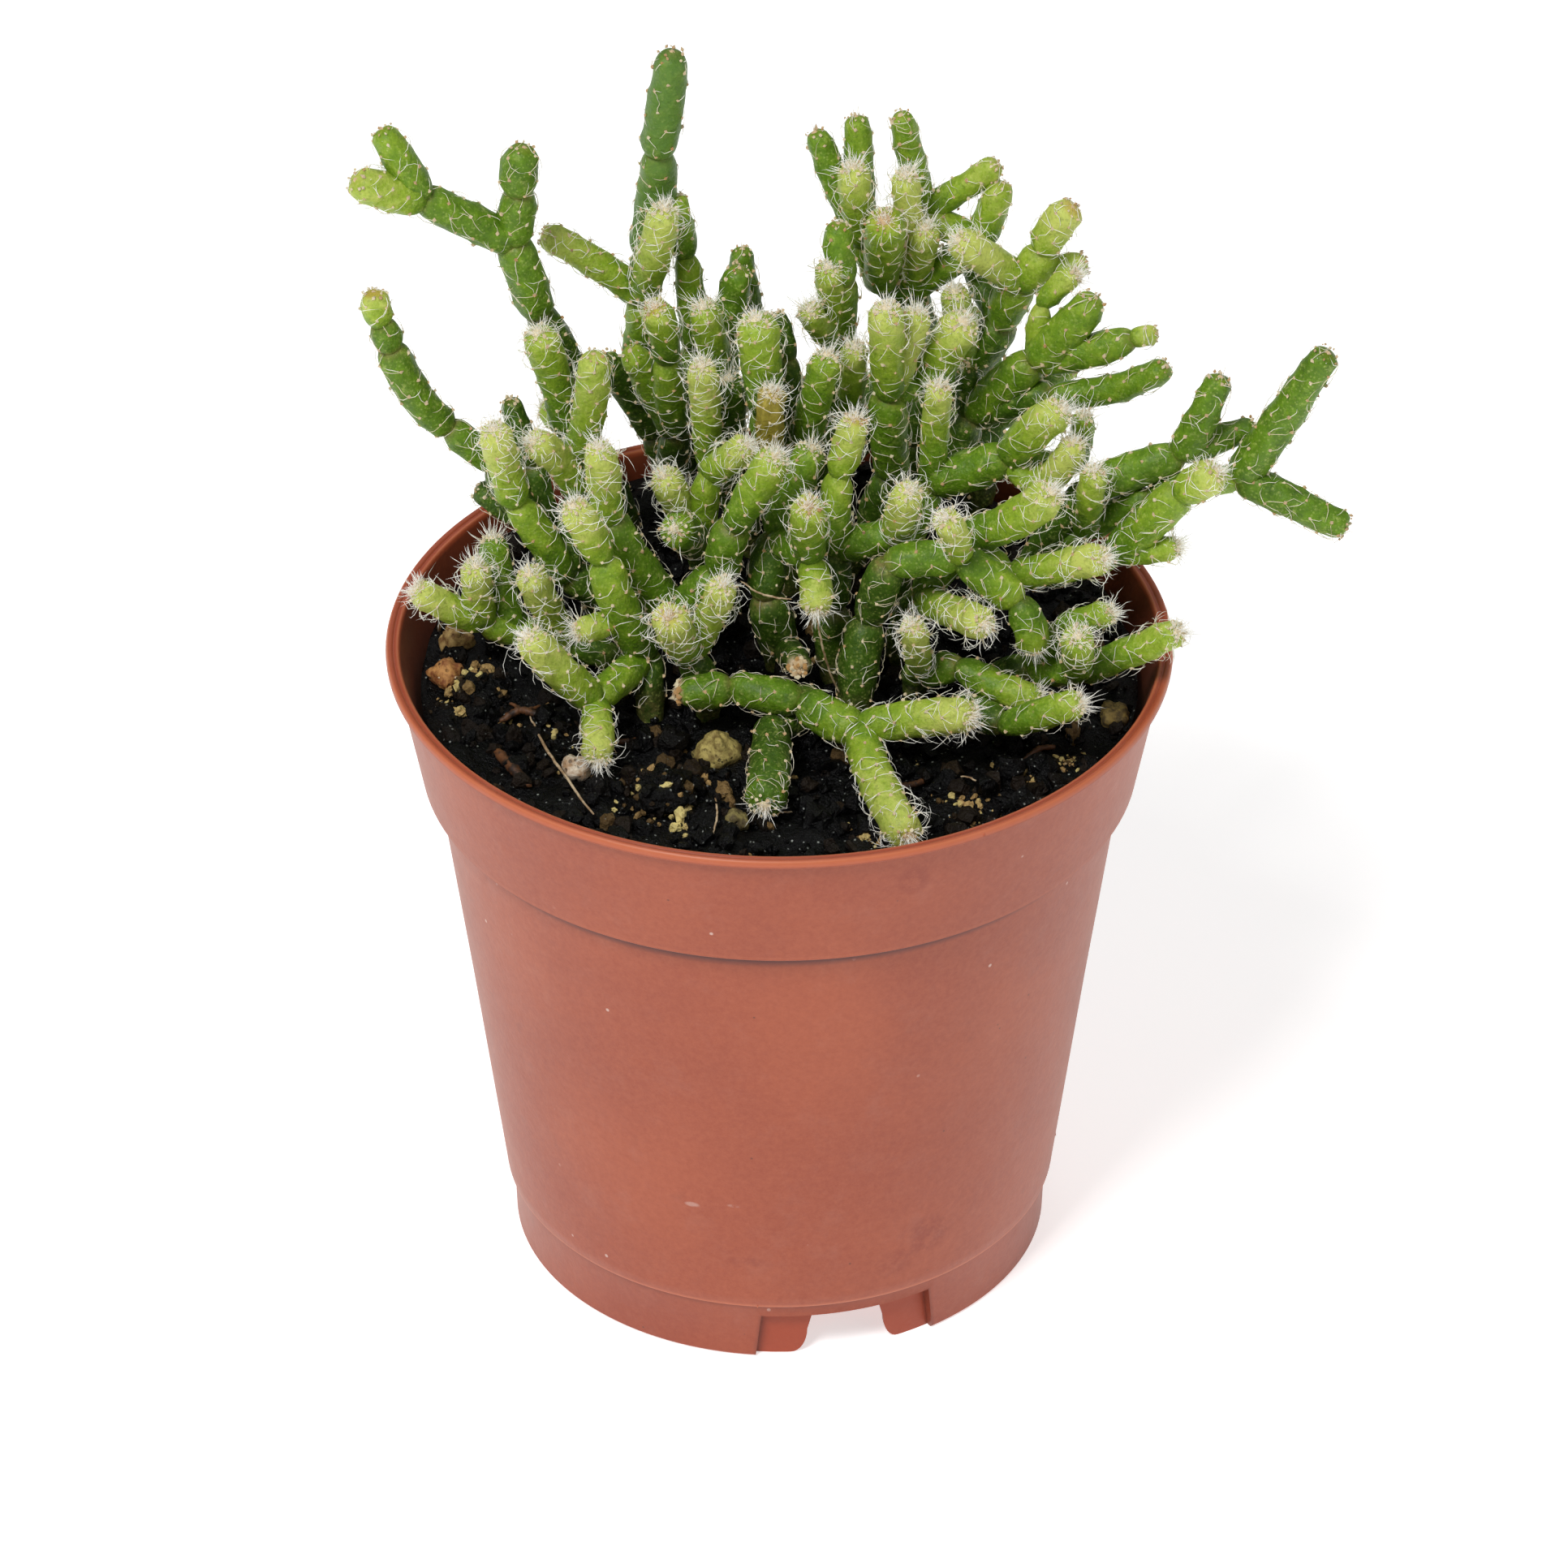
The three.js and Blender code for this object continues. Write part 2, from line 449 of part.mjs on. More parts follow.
/** The joints and stem joints of every cutting, with the joints placed in space. */
function layOut(cuttings) {
  const stems = [];
  for (const [cutting, { joints, stems: codes }] of Object.entries(cuttings)) {
    const placed = {};
    for (const [letter, board] of Object.entries(joints)) {
      placed[letter] = { board: [...board], fixed: letter === 'a', soft: false, point: place(board) };
    }
    const { point } = placed.a;
    const ground = soilHeight(point.x, point.y);
    point.z = ground + STEM.stand;
    const foot = { point: point.clone().setZ(ground - STEM.rootDepth), fixed: true, soft: false };
    const rootRadius = (STEM.rootWidth * STEM.plump * codes[0][1]) / 2;
    stems.push({ cutting, from: foot, to: placed.a, radius: rootRadius, root: true });
    for (const [code, width] of codes) {
      const mark = code[2] ?? '';
      if (mark === '.') placed[code[1]].soft = true;
      stems.push({
        cutting, from: placed[code[0]], to: placed[code[1]], radius: (STEM.plump * width) / 2,
        tip: mark === "'" || mark === '"', woolly: mark === "'",
      });
    }
  }
  return stems;
}

/** How far along two straight stems (0 to 1) the places lie where they come closest. */
function closest(a0, a1, b0, b1) {
  const along = a1.clone().sub(a0);
  const beside = b1.clone().sub(b0);
  const apart = a0.clone().sub(b0);
  const aa = along.dot(along);
  const bb = beside.dot(beside);
  const ab = along.dot(beside);
  const ac = along.dot(apart);
  const bc = beside.dot(apart);
  const clamp = (value) => Math.min(Math.max(value, 0), 1);
  const spread = aa * bb - ab * ab;
  let s = spread > 1e-9 ? clamp((ab * bc - ac * bb) / spread) : 0;
  const t = clamp((ab * s + bc) / bb);
  s = clamp((ab * t - ac) / aa);
  return [s, t];
}

const between = (stem, s) => stem.from.point.clone().lerp(stem.to.point, s);

const SETTLE = { sweeps: 160, reach: 1.5, ease: 0.6, stride: 0.5, leastWeight: 0.25 };

/**
 * Moves crossing stems of different cuttings apart along the line of sight, so that they rest on
 * each other instead of running through each other. Joints at the soil stay where they are.
 */
function settle(stems) {
  const flat = ({ board: [across, up] }) => new THREE.Vector3(across, up, 0);
  const pairs = [];
  const loose = stems.filter(({ root }) => !root);
  loose.forEach((front, i) => loose.slice(i + 1).forEach((back) => {
    if (front.cutting === back.cutting) return;
    const ends = [front.from, front.to, back.from, back.to].map(flat);
    const [s, t] = closest(...ends);
    const near = ends[0].lerp(ends[1], s).distanceTo(ends[2].lerp(ends[3], t));
    const room = front.radius + back.radius + STEM.gap;
    if (near > room + SETTLE.reach) return;
    const depth = between(back, t).y - between(front, s).y;
    pairs.push({ front, back, room, order: depth < 0 ? -1 : 1 });
  }));
  const shift = (joint, distance) => {
    joint.board[2] += distance;
    joint.point.copy(place(joint.board));
  };
  for (let sweep = 0; sweep < SETTLE.sweeps; sweep += 1) {
    for (const { front, back, room, order } of pairs) {
      const [s, t] = closest(front.from.point, front.to.point, back.from.point, back.to.point);
      const gap = between(back, t).sub(between(front, s));
      const along = gap.dot(sight);
      const wanted = room * room - (gap.lengthSq() - along * along);
      const missing = wanted > 0 ? Math.sqrt(wanted) - order * along : 0;
      if (missing <= 0) continue;
      const parts = [[front.from, s - 1], [front.to, -s], [back.from, 1 - t], [back.to, t]]
        .filter(([joint]) => !joint.fixed);
      const weight = parts.reduce((sum, [, part]) => sum + part * part, 0);
      if (weight === 0) continue;
      const push = Math.min(missing * Math.cos(slope) * SETTLE.ease, SETTLE.stride) * order;
      parts.forEach(([joint, part]) => shift(joint, (push * part) / Math.max(weight, SETTLE.leastWeight)));
    }
    for (const { to, radius } of loose) {
      const { x, y, z } = to.point;
      const sunk = soilHeight(x, y) + radius + STEM.gap - z;
      if (Math.hypot(x, y) < POT.lipRadius && sunk > 0) shift(to, -sunk * SETTLE.ease);
    }
  }
  return stems;
}

// The way that the first corner of a tube's rings faces, as near as the tube's direction allows.
const RING_START = new THREE.Vector3(1, 0.3, 0.2);

/** A round body through [place, direction, radius] rings; a ring of no radius closes its end. */
function tube(rings, sides = STEM.sides) {
  const corners = [];
  const rows = [];
  const side = RING_START.clone();
  for (const [center, direction, radius] of rings) {
    side.addScaledVector(direction, -side.dot(direction)).normalize();
    const row = [];
    for (let i = 0; i < (radius > 0 ? sides : 1); i += 1) {
      const away = side.clone().applyAxisAngle(direction, (2 * Math.PI * i) / sides);
      row.push(corners.length / 3);
      corners.push(...center.clone().addScaledVector(away, radius).toArray());
    }
    rows.push(row);
  }
  const faces = [];
  rows.slice(1).forEach((row, k) => {
    const below = rows[k];
    for (let i = 0; i < sides; i += 1) {
      const [a, b] = [below[i % below.length], below[(i + 1) % below.length]];
      const [c, d] = [row[i % row.length], row[(i + 1) % row.length]];
      if (a !== b) faces.push(a, b, d);
      if (c !== d) faces.push(a, d, c);
    }
  });
  return new wasm.Manifold(new wasm.Mesh({
    numProp: 3,
    vertProperties: new Float32Array(corners),
    triVerts: new Uint32Array(faces),
  }));
}

const heading = ({ from, to }) => to.point.clone().sub(from.point).normalize();

/** Sorts a cutting's stem joints into unbroken runs; where the cutting forks, the straightest goes on. */
function runsOf(stems) {
  const taken = new Set();
  const runs = [];
  for (const first of stems) {
    if (taken.has(first)) continue;
    const run = [];
    for (let stem = first; stem; ) {
      run.push(stem);
      taken.add(stem);
      const last = stem;
      const bend = (next) => heading(last).angleTo(heading(next));
      [stem] = stems.filter((next) => next.from === last.to && !taken.has(next))
        .filter((next) => bend(next) < THREE.MathUtils.degToRad(STEM.sharpestBend))
        .sort((one, other) => bend(one) - bend(other));
    }
    runs.push(run);
  }
  return runs;
}

/** A run of stem joints: each narrow at its ends and plump between, the last one domed. */
function runSolid(run) {
  const rings = [];
  run.forEach((stem, index) => {
    const { from, to, radius, root } = stem;
    const direction = heading(stem);
    const length = from.point.distanceTo(to.point);
    const shoulder = Math.min(STEM.shoulderShare * length, STEM.shoulder);
    const ring = (distance, part) => {
      rings.push([from.point.clone().addScaledVector(direction, distance), direction, part * radius]);
    };
    if (index === 0) ring(root ? 0 : -STEM.socket, 0);
    if (root) ring(0, 1);
    else if (!from.soft) ring(shoulder, 1);
    if (index < run.length - 1) {
      if (!to.soft) ring(length - shoulder, 1);
      const next = run[index + 1];
      const middle = direction.clone().add(heading(next)).normalize();
      const neck = to.soft || root ? 1 : STEM.neck;
      rings.push([to.point, middle, (neck * (radius + next.radius)) / 2]);
      return;
    }
    ring(length - STEM.domeStart * radius, 1);
    ring(length - STEM.domeEnd * radius, STEM.domeWidth);
    ring(length, 0);
  });
  return tube(rings, run[0].radius < STEM.slim ? STEM.slimSides : STEM.sides);
}

/** The hole in the soil that a cutting's root stretch stands in. */
function rootHole({ from, to, radius }) {
  const up = new THREE.Vector3(0, 0, 1);
  const bottom = from.point.clone().addScaledVector(up, -STEM.holeClearance);
  const top = to.point.clone().addScaledVector(up, STEM.stand);
  const wide = radius + STEM.holeClearance;
  return tube([[bottom, up, 0], [bottom, up, wide], [top, up, wide], [top, up, 0]]);
}

// ---------------------------------------------------------------- bristles

/** The bristles of one stem joint, as lines from root to tip, turned by the golden angle. */
function bristleLines(stem, index) {
  const along = heading(stem);
  const length = stem.from.point.distanceTo(stem.to.point);
  const side = new THREE.Vector3(0, 0, 1).cross(along);
  if (side.lengthSq() < 0.01) side.set(1, 0, 0);
  side.normalize();
  const { out, lean } = stem.woolly ? CROWN : FLANK;
  const at = stem.woolly ? length - CROWN.back * stem.radius : FLANK.along * length;
  const count = stem.woolly ? CROWN.count : 1 - (index % 2);
  return Array.from({ length: count }, (_, turn) => {
    const angle = THREE.MathUtils.degToRad(GOLDEN_ANGLE * index + (360 * turn) / CROWN.count);
    const away = side.clone().applyAxisAngle(along, angle);
    const direction = away.clone().addScaledVector(along, lean).normalize();
    const skin = stem.from.point.clone().addScaledVector(along, at)
      .addScaledVector(away, stem.radius * out * BRISTLE.seat);
    return {
      cutting: stem.cutting,
      root: skin.clone().addScaledVector(direction, -BRISTLE.root),
      end: skin.clone().addScaledVector(direction, BRISTLE.length),
    };
  });
}

/** Tells whether a bristle keeps clear of other cuttings, their bristles, the soil and the pot. */
function hasRoom(line, stems, kept, grit) {
  const distance = (a0, a1, b0, b1) => {
    const [s, t] = closest(a0, a1, b0, b1);
    return a0.clone().lerp(a1, s).distanceTo(b0.clone().lerp(b1, t));
  };
  const { x, y, z } = line.end;
  const reach = Math.hypot(x, y);
  if (z < soilHeight(x, y) + BRISTLE.overSoil) return false;
  const overRim = reach > POT.lipRadius - POT.lipWidth - BRISTLE.fromRim;
  if (overRim && z < POT.height + BRISTLE.overSoil) return false;
  const free = BRISTLE.base + BRISTLE.clearance;
  return stems.every((stem) => stem.cutting === line.cutting
      || distance(line.root, line.end, stem.from.point, stem.to.point) > stem.radius + free)
    && kept.every((other) => other.cutting === line.cutting
      || distance(line.root, line.end, other.root, other.end) > BRISTLE.base + free)
    && grit.every(({ center, radius }) => line.end.distanceTo(center) > radius + BRISTLE.fromGrit);
}

/** A bristle: a slim three-sided spike. */
function bristleSolid({ root, end }) {
  const direction = end.clone().sub(root).normalize();
  return tube([[root, direction, 0], [root, direction, BRISTLE.base], [end, direction, 0]], 3);
}

// ---------------------------------------------------------------- the pieces

/** The pot: a turned shell with a flat ring round its mouth, a band under it and a notched foot. */
function makePot() {
  const { height: top, lipRadius: lip, lipFall: fall, wall, draft, stepHeight: step } = POT;
  const bandFoot = top - POT.bandHeight;
  const channel = POT.floorHeight - POT.floor;
  const ringInner = POT.footRadius - POT.footWidth;
  const padTop = POT.padRadius + POT.mouthStep;
  const body = toSolid(turned([
    [0, 0], [POT.padRadius, 0], [POT.padRadius + POT.padFlare, channel],
    [ringInner - POT.channelFlare, channel], [ringInner, 0], [POT.footRadius, 0],
    [POT.footRadius + draft, step], [POT.wallFootRadius, step + POT.ledge],
    [POT.wallTopRadius, bandFoot], [POT.bandFootRadius, bandFoot],
    [POT.bandTopRadius, top - POT.lipThick - draft], [lip, top - POT.lipThick],
    [lip, top - POT.lipEdge], [lip - fall, top], [lip - POT.lipWidth, top - fall],
    [POT.bandTopRadius - wall - POT.mouthStep, top - POT.mouthDepth],
    [POT.bandFootRadius - wall, bandFoot + draft], [POT.wallTopRadius - wall, bandFoot - wall],
    [POT.footRadius - wall, POT.floorHeight], [padTop + POT.wall + draft, POT.floorHeight],
    [padTop, POT.floor], [0, POT.floor],
  ], POT.sides));
  const cuts = [];
  const outer = POT.footRadius + NOTCH.overcut;
  for (let i = 0; i < NOTCH.count; i += 1) {
    const degrees = NOTCH.first + (360 * i) / NOTCH.count;
    const niche = POT.footRadius - NOTCH.depth;
    const gap = POT.footRadius - NOTCH.gapDepth;
    cuts.push(radialBox(degrees, NOTCH.width, niche, outer, -NOTCH.overcut, NOTCH.height));
    cuts.push(radialBox(degrees, NOTCH.gap, gap, outer, -NOTCH.overcut, NOTCH.height));
  }
  for (let i = 0; i < DRAIN.count; i += 1) {
    const hole = new THREE.CylinderGeometry(DRAIN.radius, DRAIN.radius, DRAIN.cut, DRAIN.sides);
    hole.rotateX(Math.PI / 2);
    const angle = (2 * Math.PI * (i + 0.5)) / DRAIN.count;
    const height = POT.floorHeight - POT.floor / 2;
    hole.translate(DRAIN.ring * Math.cos(angle), DRAIN.ring * Math.sin(angle), height);
    cuts.push(toSolid(hole));
  }
  return body.subtract(joinAll(cuts));
}

/** A grain of grit: a ball dented by a formula, most of it sunk into the soil. */
function gritGrain({ at, radius, flat }, extra = 0) {
  const center = onSoil(at);
  center.z += GRAIN.sink * radius;
  const ball = new THREE.IcosahedronGeometry(1, radius < GRAIN.fine ? 0 : 1);
  const points = ball.attributes.position;
  for (let i = 0; i < points.count; i += 1) {
    const corner = new THREE.Vector3().fromBufferAttribute(points, i);
    const dents = Math.sin(5 * corner.x + at[0]) + Math.sin(4 * corner.y + at[1]);
    const dent = 1 + GRAIN.dent * dents;
    corner.multiplyScalar(radius * dent + extra);
    corner.z *= flat;
    points.setXYZ(i, corner.x, corner.y, corner.z);
  }
  return { center, radius, solid: toSolid(ball.translate(center.x, center.y, center.z)) };
}

/** The soil: a plug that fills the pot up to its lumpy top, with a hole for each root stretch. */
function makeSoil(stems) {
  const { clearance, rings, sides } = SOIL;
  const bandFoot = POT.height - POT.bandHeight;
  const inside = POT.wall + SOIL.wallClearance;
  const edge = POT.bandTopRadius - SOIL.edgeInset;
  const outline = [
    [0, POT.floorHeight + clearance],
    [POT.footRadius - inside - clearance, POT.floorHeight + clearance],
    [POT.wallFootRadius - inside, POT.stepHeight + POT.wall],
    [POT.wallTopRadius - inside, bandFoot - 1],
    [POT.bandFootRadius - inside, bandFoot + SOIL.wallClearance],
    [edge, POT.height - SOIL.front],
  ];
  for (let ring = rings - 1; ring >= 0; ring -= 1) outline.push([(edge * ring) / rings, POT.height]);
  const body = turned(outline, sides);
  const points = body.attributes.position;
  for (let i = 0; i < points.count; i += 1) {
    if (points.getZ(i) < POT.height - SOIL.front - 0.01) continue;
    points.setZ(i, soilHeight(points.getX(i), points.getY(i)));
  }
  const holes = stems.filter(({ root }) => root).map(rootHole);
  const seats = Object.values(GRIT).map((grain) => gritGrain(grain, clearance).solid);
  return toSolid(body).subtract(joinAll([...holes, ...seats]));
}

// ---------------------------------------------------------------- assembly

const group = new THREE.Group();
const stems = settle(layOut(CUTTINGS));
group.add(toMesh('pot', makePot(), COLOR.pot, 0.5));
group.add(toMesh('soil', makeSoil(stems), COLOR.soil, 0.95));

const grit = [];
for (const [name, grain] of Object.entries(GRIT)) {
  const made = gritGrain(grain);
  grit.push(made);
  group.add(toMesh(name, made.solid, grain.color, 0.9));
}

const bristles = [];
stems.forEach((stem, index) => {
  if (stem.root) return;
  for (const line of bristleLines(stem, index)) {
    if (hasRoom(line, stems, bristles, grit)) bristles.push(line);
  }
});

for (const cutting of Object.keys(CUTTINGS)) {
  const runs = runsOf(stems.filter((stem) => stem.cutting === cutting));
  const spikes = bristles.filter((line) => line.cutting === cutting);
  const solid = joinAll([...runs.map(runSolid), ...spikes.map(bristleSolid)]);
  group.add(toMesh(cutting, solid, COLOR.stem, 0.55));
}

export default group;
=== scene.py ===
"""Looks of a bristly mistletoe cactus (Rhipsalis) in a small plastic nursery pot.

Lengths are in millimetres until a mesh is made, and metres from then on. +Z is up, the origin is on
the ground on the pot's axis, and the plant's front faces -Y. The plant is laid out on the same
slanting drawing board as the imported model, and its stem joints come to rest on each other in the
same way, so each cutting's skin, felt and bristles lie where its solid does.
"""
import logging
import math
from contextlib import contextmanager
from dataclasses import dataclass, field
from enum import Enum
from typing import Callable, Iterator

import bpy
import numpy as np
from bpy.types import ColorRamp, Material, Mesh, Node, NodeSocket, Object
from mathutils import Matrix, Vector, noise


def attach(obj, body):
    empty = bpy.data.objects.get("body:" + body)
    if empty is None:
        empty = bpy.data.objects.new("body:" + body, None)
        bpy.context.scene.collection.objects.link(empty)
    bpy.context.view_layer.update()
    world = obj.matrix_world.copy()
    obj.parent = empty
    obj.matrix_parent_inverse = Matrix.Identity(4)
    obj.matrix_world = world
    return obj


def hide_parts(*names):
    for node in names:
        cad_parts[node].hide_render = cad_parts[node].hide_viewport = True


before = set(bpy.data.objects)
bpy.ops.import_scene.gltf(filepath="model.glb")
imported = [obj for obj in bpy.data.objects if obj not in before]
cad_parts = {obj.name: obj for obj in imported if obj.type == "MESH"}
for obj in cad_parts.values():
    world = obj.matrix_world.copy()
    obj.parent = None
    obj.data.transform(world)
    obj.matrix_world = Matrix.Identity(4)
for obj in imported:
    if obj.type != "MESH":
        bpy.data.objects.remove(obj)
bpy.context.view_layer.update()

LOG = logging.getLogger("cactus")
MM = 0.001
GOLDEN = math.radians(137.5)
BODY = "root"
Array = np.ndarray
Point = tuple[float, float, float]
Colour = tuple[float, float, float]
Range = tuple[float, float]
Layout = tuple[dict[str, list[float]], list[tuple[str, float, str]]]
Ridges = tuple[tuple[float, float, float], ...]
Fibres = tuple[tuple[tuple[Point, ...], float], ...]


def srgb(red: int, green: int, blue: int) -> Colour:
    """Turn a display colour into the linear values that a shader reads.

    Args:
        red: The red channel, 0 to 255.
        green: The green channel.
        blue: The blue channel.

    Returns:
        The linear colour.
    """
    def linear(value: float) -> float:
        """One channel without its display curve."""
        return value / 12.92 if value <= 0.04045 else ((value + 0.055) / 1.055) ** 2.4
    return tuple(linear(channel / 255) for channel in (red, green, blue))


# ------ the plant's layout

